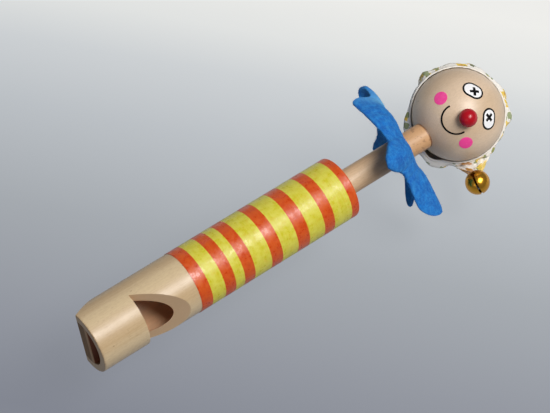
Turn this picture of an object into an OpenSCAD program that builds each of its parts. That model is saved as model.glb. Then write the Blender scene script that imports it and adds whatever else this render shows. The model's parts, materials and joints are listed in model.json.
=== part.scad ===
// Slide whistle with a clown's head on its plunger.
// The barrel lies along +X with its mouthpiece at the origin, +Z is up, and the window faces -Y.
// A direction square to the barrel is given as an angle that turns from +Z towards -Y.

/* [Barrel] */
// Length of the turned wooden barrel
barrel_len = 112.6; // [105:0.1:130]
// Outer diameter of the bare wood
barrel_d = 24; // [23:0.1:27]
// Diameter of the bore
bore_d = 18; // [17.4:0.1:19]
// Rounding of the turned wood's outer edges
edge_round = 0.4; // [0.2:0.1:1.2]
// Bare wood left between the window's ramp and the lacquer
bare_len = 4.7; // [3:0.1:8]
// How far the lacquer stands proud of the wood
lacquer_t = 0.15; // [0.1:0.05:0.3]

/* [Window and mouthpiece] */
// Direction that the window faces
window_angle = 79; // [60:1:90]
// Distance from the mouthpiece's end to the window's saw cut
window_x = 19.2; // [17:0.1:21]
// Height of the saw cut's foot above the axis
window_foot = 2.2; // [0:0.1:3]
// Length of the ramp that rises from the saw cut to the surface
ramp_len = 17.8; // [16:0.1:19]
// Height of the block's flat above the axis, at the mouth
windway_foot = 3.0; // [2:0.1:4]
// Height of the slit where the breath leaves the block
windway_exit = 1.5; // [1:0.1:2]
// Depth of the beak's slanted flat below the axis, at the mouth
beak_foot = 2.7; // [2:0.1:5]
// Slope of the beak's flat to the axis
beak_slope = 30; // [25:1:35]
// Glue line between glued pieces
glue_line = 0.03; // [0.02:0.01:0.05]

/* [Plunger] */
// Diameter of the plunger's rod
rod_d = 10; // [8:0.1:10.6]
// Length of rod between the barrel and the collar, at rest
rod_out = 28.6; // [28:0.1:32]
// Length of rod between the collar and the ball
neck_len = 10.9; // [9:0.1:12]
// Length of the air column between the block and the piston, at rest
chamber_len = 42.3; // [40:0.1:46]
// Length of the piston
piston_len = 12; // [10:0.5:14]
// Depth of the piston's hole for the rod
rod_seat = 8; // [5:0.5:9]
// Radial play of the wooden piston in the bore
piston_play = 0.35; // [0.2:0.05:0.6]
// Width of the felt ring in the piston's groove
felt_w = 6; // [4:0.5:7]
// Depth of the piston's groove
groove_depth = 1.5; // [1:0.1:1.8]
// Running clearance of the felt ring, the bell's link and the pellet
run_clear = 0.05; // [0.02:0.01:0.1]
// Length of the guide bush in the barrel's far end
bush_len = 10; // [8:0.5:14]
// Radial play of the rod in the guide bush
bush_play = 0.9; // [0.3:0.1:1.2]
// How far the guide bush sits back from the barrel's end
bush_inset = 0.6; // [0.3:0.1:2]

/* [Collar] */
// Thickness of the collar's felt
collar_t = 1.5; // [1:0.1:2]
// Size of the collar's cut outline against the one that is drawn
cut_scale = 1; // [0.9:0.01:1.1]

/* [Head] */
// Diameter of the wooden ball
ball_d = 35; // [33:0.1:36]
// Depth of the ball's blind hole
ball_hole = 8; // [6:0.5:11]
// Diameter of the nose bead
nose_d = 7; // [6:0.1:8]
// Depth of the bead's hollow seat on the ball
nose_seat = 0.8; // [0.4:0.1:1.5]
// Direction of the nose round the axis
nose_turn = 40.4; // [30:0.1:45]
// Lean of the nose from square, towards the crown
nose_lean = -18.9; // [-25:0.1:-12]

/* [Face] */
// Thickness of the printed ink
ink_t = 0.12; // [0.08:0.01:0.2]
// Direction of the face's middle round the axis
face_turn = 36.2; // [30:0.1:40]
// Turn from the middle of the face to an eye
eye_turn = 20.6; // [18:0.1:23]
// Lean of the eyes towards the crown
eye_lean = 7.4; // [5:0.1:10]
// Length of an eye, outline included
eye_len = 8.2; // [7:0.1:9]
// Width of an eye, outline included
eye_w = 6.1; // [4.5:0.1:6.8]
// Slant of an eye on the face
eye_slant = 28; // [20:1:35]
// Width of the printed lines
line_w = 0.65; // [0.4:0.05:0.8]
// Length of a cross's arms, tip to tip
cross_len = 3.6; // [2.4:0.1:3.8]
// Width of a cross's arms
cross_w = 1.05; // [0.5:0.05:1.1]
// Offset of a cross from its eye's centre: across, away from the nose, and up
cross_offset = [-0.6, 0.15]; // [-1:0.05:1]
// Turn from the middle of the face to a cheek
cheek_turn = 39.2; // [36:0.1:41]
// Lean of the cheeks from square, towards the crown
cheek_lean = -30; // [-33:0.1:-26]
// Diameter of a cheek
cheek_d = 5.2; // [4.5:0.1:6]
// Lean of the smile's centre from square, towards the crown
smile_lean = -31; // [-34:0.1:-27]
// Radius of the smile
smile_r = 5.5; // [4.8:0.1:5.8]

/* [Hood] */
// Thickness of the hood's cotton
hood_t = 0.8; // [0.6:0.1:1]
// Looseness of the cotton on the back of the ball
hood_ease = 0.9; // [0.7:0.1:1.1]
// Looseness of the cotton at the rim
rim_ease = 0.4; // [0.3:0.05:0.6]
// Angle from the face's direction to the hood's rim
rim_angle = 94; // [90:1:98]
// Height of the hood's folds
fold_h = 0.35; // [0.2:0.05:0.5]
// Number of folds round the hood
folds = 8; // [6:1:10]
// Radius of the gathered tip where it ends
tip_r = 2.8; // [2.2:0.1:3]
// Number of pleats round the gathered tip
pleats = 5; // [4:1:7]
// Depth of the pleats where the tip ends
pleat_depth = 0.35; // [0.2:0.05:0.5]
// How far the middle of the tip's end bulges
tip_bulge = 0.3; // [0.1:0.1:0.6]

/* [Bell] */
// Distance from the ball's surface to the bell's centre
bell_out = 9.3; // [9:0.1:12]
// Diameter of the bell
bell_d = 9.4; // [8.8:0.1:10]
// Thickness of the bell's brass
bell_t = 0.4; // [0.3:0.05:0.5]
// Width of the bell's slit
slit_w = 0.8; // [0.6:0.1:1.2]
// Diameter of the round holes at the slit's ends
slit_hole_d = 1.9; // [1.4:0.1:2.2]
// Brass left between those holes and the bell's seam
slit_margin = 0.1; // [0.1:0.1:0.6]
// Diameter of the pellet in the bell
pellet_d = 2.8; // [2.2:0.1:3.2]
// Radius of the bell's wire loop
loop_r = 1.1; // [1:0.05:1.3]
// Thickness of the loop's wire
loop_wire = 0.6; // [0.5:0.05:0.7]
// How far the loop's foot reaches into the bell
loop_sink = 0.85; // [0.7:0.05:1]
// Radius of the thread's ring
thread_r = 1.15; // [1:0.05:1.4]
// Thickness of the thread
thread_d = 0.5; // [0.4:0.05:0.6]
// How deep the thread's ring is sewn into the cloth
thread_bite = 0.95; // [0.8:0.05:1.1]

/* [Hidden] */
$fn = 96;
// Sides of a thin wire
wire_fn = 32;
// Steps of a turned edge's quarter circle
edge_steps = 3;
// Margin by which a cutting shape stands past what it cuts
past = 1;

// Widths of the painted bands from the ramp to the far end, orange first and then by turns
band_widths = [4.7, 5.7, 4.5, 4.0, 4.6, 7.5, 4.9, 7.0, 5.2, 6.9, 4.6, 7.9, 3.4];
// How far round the barrel's edge the last band comes, measured up from the end face
lacquer_edge = 45;

// Outline of the collar, straight in between: direction, width from the rod, and what the felt leans and curls
// along the axis on that width
cut_outline = [
    [8, 11.8, -1, -8.2], [16, 12.4, -2, -7.8], [24, 14.6, -3, -10], [32, 16.8, -3.5, -13],
    [40, 17, -3.5, -14], [48, 14.3, -3, -11.8], [56, 11.4, -2, -9.4], [64, 10.4, -1.5, -8.2],
    [76, 10.4, -1, -8], [88, 11.8, 0, -8.6], [100, 14.8, 3.2, -11.8], [108, 18.2, 4.8, -13],
    [112, 20.7, 5, -11.2], [116, 22.6, 5, -8], [120, 23.6, 4.4, -3.4], [124, 19.5, 4, -1.2],
    [128, 17.5, 3.4, -0.6], [136, 12, 2, 0], [141, 9, 1, 0], [144, 12, 2, -2.5], [147, 16.5, 2, -5],
    [151, 18.4, 2, -5.6], [154, 17.6, 2, -5.4], [157, 14, 1.5, -3.6], [160, 7, 0.5, 0], [166, 5.5, 0, 0],
    [188, 5.5, 0, 0], [204, 8, 0, 0], [216, 13, 0, 0], [228, 15, 0, 0], [240, 11, 0, 0],
    [250, 8.5, 0, 0], [264, 7.2, 0, 0], [280, 8, 0, 0], [288, 14, 1, -1.6], [292, 19, 2.5, -3.5],
    [296, 21.5, 4, -5], [300, 22.4, 4.2, -4.8], [304, 22.4, 4.5, -4.5], [308, 22, 4.7, -4.1],
    [312, 21, 4.6, -6.4], [316, 20.4, 4.4, -10.2], [320, 20.6, 4.3, -14.5], [326, 19, 4, -14.4],
    [332, 17.5, 3.6, -13.8], [344, 15.4, 2.2, -12.2], [356, 13.2, 0.2, -9.6]
];
// Power of the way out from the rod with which the felt curls
curl_power = 4;
// Power of a ring's number that places it, so that the rings crowd where the felt curls
ring_power = 0.6;

// Turns of the two crosses on their eyes
cross_turns = [58, 18];

// Direction in which the face looks, which is the axis of the hood's rim
rim_dir = unit([-0.35, -0.54, 0.765]);
// How fast the folds and the looseness grow from the hood's rim, and how much of a fold is left at the tip
fold_start = 0.4;
fold_growth = 4;
ease_growth = 2.5;
fold_left = 0.4;
// Direction from the ball's centre to the root of the hood's gathered tip
root_dir = unit([0.10, -0.28, -0.955]);
// Half angle of the tip's root
root_angle = 28;
// Power of the way along the tip with which it narrows
tip_power = 1.3;
// Direction in which the tip ends
tip_dir = unit([-0.42, -0.86, 0.17]);
// How far along the tip its inside ends
tip_hollow = 0.96;

// Direction from the ball's centre to the bell's centre
bell_side = unit([-8.24, -22.18, -12.64]);
// Direction from the bell's loop to its pole
bell_dir = unit([-0.55, -0.727, 0.412]);
// Turn of the slit about the bell's axis
slit_turn = 27;

barrel_r = barrel_d / 2;
bore_r = bore_d / 2;
lacquer_r = barrel_r + lacquer_t;
lacquer_x = window_x + ramp_len + bare_len;
rod_r = rod_d / 2;
piston_r = bore_r - piston_play;
piston_x = window_x + chamber_len;
groove_r = piston_r - groove_depth;
groove_x = piston_x + (piston_len - felt_w) / 2;
rod_x = piston_x + piston_len - rod_seat;
bush_x = barrel_len - bush_inset - bush_len;
collar_x = barrel_len + rod_out;
ball_r = ball_d / 2;
head_x = collar_x + neck_len + ball_r;
head_at = [head_x, 0, 0];
rod_end_x = head_x - ball_r + ball_hole - glue_line;

bell_r = bell_d / 2;
bell_at = head_at + (ball_r + bell_out) * bell_side;
// Distances from the bell's centre to the middle of its loop and to the middle of the thread's ring
loop_at = bell_r + loop_r + loop_wire / 2 - loop_sink;
thread_at = loop_at + loop_r + thread_r - (loop_wire + thread_d) / 2 - run_clear;
// Angle from the bell's pole to the middle of the holes at the slit's ends
slit_reach = 90 - asin((slit_hole_d / 2 + slit_margin) / bell_r);
// The pellet lies on the lowest spot inside the bell
pellet_drop = bell_r - bell_t - pellet_d / 2 - 2 * run_clear;
// The gathered tip ends where the thread's ring is sewn through it
tip_at = bell_at - (thread_at + thread_r - thread_bite + tip_bulge) * bell_dir;

// Two directions square to the tip's root, the first one towards the face
root_u = unit(rim_dir - (rim_dir * root_dir) * root_dir);
root_v = cross(root_dir, root_u);
// Two directions in the ring that ends the tip, the first one square to the root too
end_u = unit(cross(root_dir, tip_dir));
end_v = cross(tip_dir, end_u);
// Where the first of them lies round the root, so that the cloth isn't twisted
end_turn = atan2(end_u * root_v, end_u * root_u);
// Middle of the ring at the tip's root
root_at = head_at + (ball_r + hood_ease + hood_t) * cos(root_angle) * root_dir;

function unit(v) = v / norm(v);
function sum_first(v, n) = n > 0 ? v[n - 1] + sum_first(v, n - 1) : 0;
function sum(v) = sum_first(v, len(v));
// Direction square to the barrel at an angle that turns from +Z towards -Y
function around(a) = [0, -sin(a), cos(a)];
// Direction on the head at a turn round the axis and a lean towards the crown
function on_head(turn, lean) = sin(lean) * [1, 0, 0] + cos(lean) * around(turn);
// Smooth step from 0 to 1
function ease_in(t) = let (c = max(0, min(1, t))) c * c * (3 - 2 * c);

// Number of a point in a skin of two layers, each of rows + 1 rings of points
function at(layer, i, k, rows, steps) = (layer * (rows + 1) + i) * steps + k % steps;
function quad(a, b, c, d) = [[a, b, c], [a, c, d]];
// Faces of both layers and of the edge that joins them at their first ring
function skin_faces(rows, steps) = concat(
    [for (i = [0:rows - 1], k = [0:steps - 1]) each quad(
        at(0, i, k, rows, steps), at(0, i, k + 1, rows, steps),
        at(0, i + 1, k + 1, rows, steps), at(0, i + 1, k, rows, steps)
    )],
    [for (i = [0:rows - 1], k = [0:steps - 1]) each quad(
        at(1, i, k, rows, steps), at(1, i + 1, k, rows, steps),
        at(1, i + 1, k + 1, rows, steps), at(1, i, k + 1, rows, steps)
    )],
    [for (k = [0:steps - 1]) each quad(
        at(0, 0, k, rows, steps), at(1, 0, k, rows, steps),
        at(1, 0, k + 1, rows, steps), at(0, 0, k + 1, rows, steps)
    )]
);

// A body turned about +X, drawn from [x, radius] points
module turned_x(points) {
    rotate([90, 0, 90]) rotate_extrude() polygon([for (p = points) [p[1], p[0]]]);
}

module dowel(x, length, r) {
    translate([x, 0, 0]) rotate([0, 90, 0]) cylinder(h = length, r = r);
}

// Puts the plane of a flat shape square to a direction, with its +X across and its +Y towards the crown
module facing(turn, lean) {
    rotate([turn, 0, 0]) rotate([0, lean, 0]) rotate([0, 0, -90]) children();
}

// Puts +Z along a direction given as a vector
module along(v) {
    rotate([0, acos(v[2]), atan2(v[1], v[0])]) children();
}

// Stretches a shape drawn in the plane of the axis and the window's direction right across the barrel
module across_window() {
    width = barrel_d + 2 * past;
    rotate([window_angle - 90, 0, 0]) translate([0, 0, -width]) linear_extrude(2 * width) children();
}

// Material above a slanted flat that runs from height h0 at x0 to height h1 at x1, on the window's side
module above_flat(x0, h0, x1, h1) {
    across_window() polygon([[x0, -h0], [x1, -h1], [x1, -barrel_d], [x0, -barrel_d]]);
}

// Material cut away under the beak
module below_beak() {
    rise = tan(beak_slope);
    across_window() polygon([
        [-past, beak_foot - rise * past], [barrel_d, beak_foot + rise * barrel_d],
        [-past, beak_foot + rise * barrel_d]
    ]);
}

// A rounded edge's points between two angles up from the end face, on the edge itself or on a coat of it
function edge_arc(x, side, coat, a0, a1) = [
    for (k = [0:edge_steps])
        let (a = a0 + (a1 - a0) * k / edge_steps, r = edge_round + coat)
        [x + side * (edge_round - r * cos(a)), barrel_r - edge_round + r * sin(a)]
];

module barrel() {
    color("BurlyWood") difference() {
        turned_x(concat(
            [[0, bore_r]], edge_arc(0, 1, 0, 0, 90),
            edge_arc(barrel_len, -1, 0, 90, 0), [[barrel_len, bore_r]]
        ));
        window_cut();
        below_beak();
    }
}

// The saw cut and the ramp of the window, which runs on past the surface
module window_cut() {
    rise = (barrel_r - window_foot) / ramp_len;
    above_flat(window_x, window_foot, window_x + ramp_len + past, barrel_r + rise * past);
}

// Start of each band; the widths are spread to fill the lacquered length
function band_start(i) =
    lacquer_x + (barrel_len - lacquer_x) * sum_first(band_widths, i) / sum(band_widths);

// One painted ring; the last one follows the barrel's rounded edge
module band(x0, x1) {
    if (x1 > barrel_len - edge_round)
        turned_x(concat(
            [[x0, barrel_r], [x0, lacquer_r]],
            edge_arc(barrel_len, -1, lacquer_t, 90, lacquer_edge),
            edge_arc(barrel_len, -1, 0, lacquer_edge, 90)
        ));
    else
        turned_x([[x0, barrel_r], [x0, lacquer_r], [x1, lacquer_r], [x1, barrel_r]]);
}

module bands(first) {
    for (i = [first:2:len(band_widths) - 1]) band(band_start(i), band_start(i + 1));
}

module orange_bands() {
    color("OrangeRed") bands(0);
}

module yellow_bands() {
    color("Khaki") bands(1);
}

module fipple_block() {
    exit_h = bore_r - windway_exit;
    rise = (exit_h - windway_foot) / window_x;
    color("Tan") difference() {
        dowel(0, window_x, bore_r - glue_line);
        above_flat(-past, windway_foot - rise * past, window_x + past, exit_h + rise * past);
        below_beak();
    }
}

module guide_bush() {
    color("Sienna") difference() {
        dowel(bush_x, bush_len, bore_r - glue_line);
        dowel(bush_x - past, bush_len + 2 * past, rod_r + bush_play);
    }
}

module piston() {
    color("Peru") difference() {
        turned_x([
            [piston_x, 0], [piston_x, piston_r - edge_round], [piston_x + edge_round, piston_r],
            [groove_x, piston_r], [groove_x, groove_r], [groove_x + felt_w, groove_r],
            [groove_x + felt_w, piston_r], [piston_x + piston_len - edge_round, piston_r],
            [piston_x + piston_len, piston_r - edge_round], [piston_x + piston_len, 0]
        ]);
        dowel(rod_x, rod_seat + past, rod_r + glue_line);
    }
}

module piston_felt() {
    color("WhiteSmoke") turned_x([
        [groove_x + run_clear, groove_r + run_clear], [groove_x + run_clear, bore_r - run_clear],
        [groove_x + felt_w - run_clear, bore_r - run_clear],
        [groove_x + felt_w - run_clear, groove_r + run_clear]
    ]);
}

module plunger_rod() {
    color("Wheat") dowel(rod_x, rod_end_x - rod_x, rod_r);
}

// A column of the collar's outline in a direction from 0 to 360
function outline_at(a, column) =
    let (
        n = len(cut_outline),
        turned = a < cut_outline[0][0] ? a + 360 : a,
        i = max([for (i = [0:n - 1]) if (cut_outline[i][0] <= turned) i]),
        from = cut_outline[i],
        to = cut_outline[(i + 1) % n],
        share = (turned - from[0]) / ((to[0] - from[0] + 360) % 360)
    )
    from[column] + (to[column] - from[column]) * share;

// A point of the collar's felt: direction a, share t of the way out, side -1 or 1
function felt_point(a, t, side) =
    let (
        width = cut_scale * outline_at(a, 1) - glue_line,
        lean = cut_scale * outline_at(a, 2),
        curl = cut_scale * outline_at(a, 3),
        slope = (lean + curl_power * curl * pow(t, curl_power - 1)) / width,
        half = side * collar_t / 2 / sqrt(1 + slope * slope)
    )
    (collar_x + lean * t + curl * pow(t, curl_power) + half) * [1, 0, 0]
    + (rod_r + glue_line + t * width - half * slope) * around(a);

module collar() {
    steps = 90;
    rings = 5;
    points = [
        for (side = [-1, 1], i = [0:rings], k = [0:steps - 1])
            felt_point(360 * k / steps, pow(i / rings, ring_power), side)
    ];
    outer_edge = [for (k = [0:steps - 1]) each quad(
        at(0, rings, k, rings, steps), at(0, rings, k + 1, rings, steps),
        at(1, rings, k + 1, rings, steps), at(1, rings, k, rings, steps)
    )];
    color("DodgerBlue") polyhedron(points, concat(skin_faces(rings, steps), outer_edge));
}

// The ball is turned about the plunger's own axis, with the blind hole at its pole
module head_ball() {
    color("BurlyWood") translate(head_at) rotate([90, 0, 90]) rotate_extrude() difference() {
        intersection() {
            circle(r = ball_r);
            translate([0, -ball_r]) square([ball_r, ball_d]);
        }
        translate([-past, -ball_r - past]) square([rod_r + glue_line + past, ball_hole + past]);
    }
}

module nose_bead() {
    out = ball_r + nose_d / 2 - nose_seat;
    color("Crimson") difference() {
        translate(head_at + out * on_head(nose_turn, nose_lean)) sphere(d = nose_d);
        translate(head_at) sphere(r = ball_r + glue_line);
    }
}

// A flat shape printed on the ball
module printed(turn, lean) {
    intersection() {
        translate(head_at) facing(turn, lean) linear_extrude(ball_d) children();
        difference() {
            translate(head_at) sphere(r = ball_r + ink_t);
            translate(head_at) sphere(r = ball_r);
        }
    }
}

// The outline of an eye, or of its white when the printed line is taken off
module eye_shape(side, inset = 0) {
    length = eye_len - 2 * inset;
    width = eye_w - 2 * inset;
    rotate(-side * eye_slant) {
        square([length - width, width], center = true);
        for (s = [-1, 1]) translate([s * (length - width) / 2, 0]) circle(d = width);
    }
}

module cross_mark(side) {
    translate([side * cross_offset[0], cross_offset[1]]) rotate(cross_turns[(side + 1) / 2]) {
        square([cross_len, cross_w], center = true);
        square([cross_w, cross_len], center = true);
    }
}

module cheek_dots() {
    color("HotPink") for (s = [-1, 1]) printed(face_turn + s * cheek_turn, cheek_lean) circle(d = cheek_d);
}

module eye_whites() {
    color("White") for (s = [-1, 1])
        printed(face_turn + s * eye_turn, eye_lean) difference() {
            eye_shape(s, line_w);
            cross_mark(s);
        }
}

module eye_ink() {
    color("Black") for (s = [-1, 1])
        printed(face_turn + s * eye_turn, eye_lean) {
            difference() {
                eye_shape(s);
                eye_shape(s, line_w);
            }
            cross_mark(s);
        }
}

module smile_line() {
    color("Black") printed(face_turn, smile_lean) {
        difference() {
            circle(r = smile_r + line_w / 2);
            circle(r = smile_r - line_w / 2);
            translate([-ball_r, 0]) square([ball_d, ball_r]);
        }
        for (s = [-1, 1]) translate([s * smile_r, 0]) circle(d = line_w);
    }
}

// Angle from the tip's root to the hood's rim, in a direction round the root
function rim_from_root(a) =
    let (p = rim_dir * root_dir, q = (rim_dir * root_u) * cos(a))
    (atan2(q, p) + 360) % 360 - acos(cos(rim_angle) / sqrt(p * p + q * q));

// Unit vector at an angle from the tip's root, in a direction round it
function from_root(angle, a) = cos(angle) * root_dir + sin(angle) * (cos(a) * root_u + sin(a) * root_v);

// Height of the folds: g is 0 at the rim and 1 at the tip's root
function fold_at(a, g) =
    fold_h * (1 + sin(folds * a) * (1 - (1 - fold_left) * g)) / 2 * ease_in(fold_start + fold_growth * g);

// A point of the hood on the ball, at a depth under its outer face
function cap_point(a, g, depth) =
    let (
        rim = rim_from_root(a),
        ease = rim_ease + (hood_ease - rim_ease) * ease_in(ease_growth * g),
        r = ball_r + ease + hood_t + fold_at(a, g) - depth
    )
    head_at + r * from_root(rim + (root_angle - rim) * g, a);

// A point of the gathered tip: s is 0 at its root and 1 at its end
function tip_point(a, s, depth) =
    let (
        pleat = pleat_depth * s * (1 - cos(pleats * a)) / 2,
        turn = a - end_turn,
        root = cap_point(a, 1, depth) - root_at,
        end = (tip_r - pleat - depth) * (cos(turn) * end_u + sin(turn) * end_v),
        gather = pow(s, tip_power)
    )
    (1 - s) * root_at + s * tip_at + (1 - gather) * root + gather * end;

module hood() {
    steps = 48;
    cap_rings = 7;
    tip_rings = 4;
    rows = cap_rings + tip_rings;
    function row_point(i, k, depth) =
        let (a = 360 * k / steps, along_tip = (i - cap_rings) / tip_rings)
        i <= cap_rings ? cap_point(a, i / cap_rings, depth)
            : tip_point(a, along_tip * (depth > 0 ? tip_hollow : 1), depth);
    points = concat(
        [for (depth = [0, hood_t], i = [0:rows], k = [0:steps - 1]) row_point(i, k, depth)],
        [for (depth = [0, hood_t]) tip_at + (tip_bulge - depth) * tip_dir]
    );
    middle = len(points) - 2;
    tip_end = concat(
        [for (k = [0:steps - 1]) [at(0, rows, k, rows, steps), at(0, rows, k + 1, rows, steps), middle]],
        [for (k = [0:steps - 1]) [at(1, rows, k + 1, rows, steps), at(1, rows, k, rows, steps), middle + 1]]
    );
    color("LemonChiffon") polyhedron(points, concat(skin_faces(rows, steps), tip_end));
}

// Puts +Z along the bell's own axis, from loop to pole, at a distance from the bell's centre
module bell_frame(shift = 0) {
    translate(bell_at + shift * bell_dir) along(bell_dir) children();
}

module half_shell(side) {
    difference() {
        intersection() {
            sphere(r = bell_r);
            translate([0, 0, side * bell_r]) cube([2 * bell_d, 2 * bell_d, bell_d], center = true);
        }
        sphere(r = bell_r - bell_t);
    }
}

// A ring of wire in the plane of the bell's axis and its own +X
module wire_ring(r, wire) {
    rotate([90, 0, 0]) rotate_extrude() translate([r, 0]) circle(d = wire, $fn = wire_fn);
}

module bell_thread() {
    color("White") bell_frame(-thread_at) rotate([0, 0, 90]) wire_ring(thread_r, thread_d);
}

module bell_loop() {
    color("Goldenrod") bell_frame(-loop_at) wire_ring(loop_r, loop_wire);
}

module bell_upper_shell() {
    color("Gold") bell_frame() difference() {
        half_shell(-1);
        translate([0, 0, -loop_at]) wire_ring(loop_r, loop_wire + 2 * glue_line);
    }
}

module bell_lower_shell() {
    color("Gold") bell_frame() rotate([0, 0, slit_turn]) difference() {
        half_shell(1);
        translate([0, 0, bell_r / 2 + bell_r * cos(slit_reach)])
            cube([2 * bell_r * sin(slit_reach), slit_w, bell_r], center = true);
        for (s = [-1, 1])
            rotate([0, s * slit_reach, 0]) translate([0, 0, bell_r / 2])
                cylinder(h = bell_r, d = slit_hole_d);
    }
}

module bell_pellet() {
    color("Silver") translate(bell_at - [0, 0, pellet_drop]) sphere(d = pellet_d);
}

barrel();
yellow_bands();
orange_bands();
fipple_block();
guide_bush();
piston();
piston_felt();
plunger_rod();
collar();
head_ball();
nose_bead();
cheek_dots();
eye_whites();
eye_ink();
smile_line();
hood();
bell_thread();
bell_loop();
bell_upper_shell();
bell_lower_shell();
bell_pellet();
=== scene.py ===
"""Looks of a toy slide whistle: striped wooden barrel, felt collar, wooden head, cotton hood and bell."""

from __future__ import annotations

import json
import logging
import math
from dataclasses import dataclass
from enum import Enum
from typing import Any, Callable, Sequence

import bpy
import numpy as np
from mathutils import Matrix, Vector, noise

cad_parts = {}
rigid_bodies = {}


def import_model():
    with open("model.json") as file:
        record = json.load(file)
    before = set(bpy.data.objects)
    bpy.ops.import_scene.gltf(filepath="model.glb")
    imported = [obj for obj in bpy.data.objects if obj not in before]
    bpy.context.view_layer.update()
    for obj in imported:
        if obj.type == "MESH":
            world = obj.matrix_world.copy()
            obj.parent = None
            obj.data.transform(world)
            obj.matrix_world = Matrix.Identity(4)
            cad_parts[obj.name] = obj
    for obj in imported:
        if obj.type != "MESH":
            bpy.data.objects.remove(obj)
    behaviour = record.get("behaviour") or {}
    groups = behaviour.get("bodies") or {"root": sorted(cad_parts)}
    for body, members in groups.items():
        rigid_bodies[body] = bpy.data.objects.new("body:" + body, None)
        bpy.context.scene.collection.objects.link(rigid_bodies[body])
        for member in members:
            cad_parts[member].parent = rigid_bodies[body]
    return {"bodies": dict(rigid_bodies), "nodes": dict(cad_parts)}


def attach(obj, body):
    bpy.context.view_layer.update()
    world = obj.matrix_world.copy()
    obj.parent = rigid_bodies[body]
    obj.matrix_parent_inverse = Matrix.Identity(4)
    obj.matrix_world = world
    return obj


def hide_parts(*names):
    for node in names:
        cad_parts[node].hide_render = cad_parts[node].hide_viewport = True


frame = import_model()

log = logging.getLogger("whistle")

MM = 0.001
PHOTO_W = 550

Pair = tuple[float, float]
Triple = tuple[float, float, float]
Quad = tuple[float, float, float, float]
Socket = bpy.types.NodeSocket

RING_LIE: Triple = (0.06, 1.0, 1.0)
STREAK_LIE: Triple = (0.035, 1.0, 1.0)
FLECK_LIE: Triple = (0.16, 1.0, 1.0)
MOTTLE_LIE: Triple = (0.3, 1.0, 1.0)
CRACK_LIE: Triple = (0.9, 0.5, 1.0)
SCRATCH_LIE: Triple = (1.0, 0.2, 1.0)
WOOL_LIES: tuple[Triple, ...] = ((1.0, 0.16, 0.5), (0.16, 1.0, 0.4), (0.5, 0.3, 0.14))
WOOL_CURL: Triple = (0.0016, 0.0016, 0.0016)


def unit(v: Sequence[float]) -> np.ndarray:
    """Return a vector at length 1."""
    return np.asarray(v, float) / np.linalg.norm(v)


def tint(red: int, green: int, blue: int) -> Quad:
    """Turn a screen colour into the linear one that a shader takes.

    Args:
        red: Red from 0 to 255.
        green: Green from 0 to 255.
        blue: Blue from 0 to 255.

    Returns:
        Linear red, green, blue and an alpha of 1.
    """
    def linear(value: int) -> float:
        """Undo the screen's curve for one channel."""
        c = value / 255
        return c / 12.92 if c <= 0.04045 else ((c + 0.055) / 1.055) ** 2.4
    return linear(red), linear(green), linear(blue), 1.0


class Nodes:
    """A node tree with short ways to add nodes and join them."""

    def __init__(self, tree: bpy.types.NodeTree) -> None:
        """Keep the tree that nodes are added to."""
        self.tree = tree

    def add(self, kind: str, sockets: dict | None = None, **settings: Any) -> bpy.types.Node:
        """Add a node.

        Args:
            kind: Blender's name of the node type.
            sockets: Input sockets by name or number, each with a value or a socket that feeds it.
            settings: Properties of the node.

        Returns:
            The new node.
        """
        node = self.tree.nodes.new(kind)
        for name, value in settings.items():
            setattr(node, name, value)
        for name, value in (sockets or {}).items():
            if isinstance(value, bpy.types.NodeSocket):
                self.tree.links.new(value, node.inputs[name])
            else:
                node.inputs[name].default_value = value
        return node

    def calc(self, operation: str, a: Any, b: Any = 0.0, c: Any = 0.0) -> Socket:
        """Return the result of a Math node with up to three inputs."""
        return self.add("ShaderNodeMath", {0: a, 1: b, 2: c}, operation=operation).outputs[0]

    def vector(self, operation: str, a: Any, b: Any = (0.0, 0.0, 0.0)) -> bpy.types.Node:
        """Return a Vector Math node with two inputs."""
        return self.add("ShaderNodeVectorMath", {0: a, 1: b}, operation=operation)

    def stretch(self, vector: Any, scales: Sequence[float]) -> Socket:
        """Return a place scaled by a number for each axis."""
        return self.vector("MULTIPLY", vector, scales).outputs[0]

    def split(self, vector: Any) -> tuple[Socket, Socket, Socket]:
        """Return a vector's three numbers."""
        return tuple(self.add("ShaderNodeSeparateXYZ", {0: vector}).outputs)

    def times(self, a: Any, b: Any) -> Socket:
        """Return the product of two values."""
        return self.calc("MULTIPLY", a, b)

    def noise(self, vector: Socket, scale: Any, detail: float = 2.0, rough: float = 0.5) -> Socket:
        """Return the value of a noise texture."""
        sockets = {"Vector": vector, "Scale": scale, "Detail": detail, "Roughness": rough}
        return self.add("ShaderNodeTexNoise", sockets).outputs["Fac"]

    def span(self, value: Any, low: Any, high: Any, to_low: Any = 0.0, to_high: Any = 1.0) -> Socket:
        """Return a smooth step of a value.

        Args:
            value: What is stepped.
            low: Where the step begins.
            high: Where it ends.
            to_low: Result below the step.
            to_high: Result above it.

        Returns:
            The stepped value.
        """
        sockets = {"Value": value, "From Min": low, "From Max": high, "To Min": to_low, "To Max": to_high}
        return self.add("ShaderNodeMapRange", sockets, interpolation_type="SMOOTHSTEP").outputs[0]

    def mix(self, factor: Any, a: Any, b: Any, blend: str = "MIX") -> Socket:
        """Return a colour mixed from two."""
        node = self.add("ShaderNodeMix", {0: factor, 6: a, 7: b}, data_type="RGBA", blend_type=blend)
        return node.outputs[2]

    def group(self, tree: bpy.types.NodeTree, **sockets: Any) -> bpy.types.Node:
        """Place a shared effect, with underscores in its socket names for spaces."""
        named = {name.replace("_", " "): value for name, value in sockets.items()}
        return self.add("ShaderNodeGroup", named, node_tree=tree)


class Effect(Enum):
    """The shared effects, each a node group that is made once."""

    GRAIN = "wood_grain"
    BRUSHED = "lathe_brushed_paint"
    FELT = "felt_fibres"
    WEAVE = "cotton_weave"
    FLOWERS = "flower_print"
    SPECKS = "specks_and_rubs"

    def tree(self) -> bpy.types.NodeTree:
        """Return the effect's node group, and make it at its first use."""
        return bpy.data.node_groups.get(self.value) or EFFECT_MAKERS[self](self.value)


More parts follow.
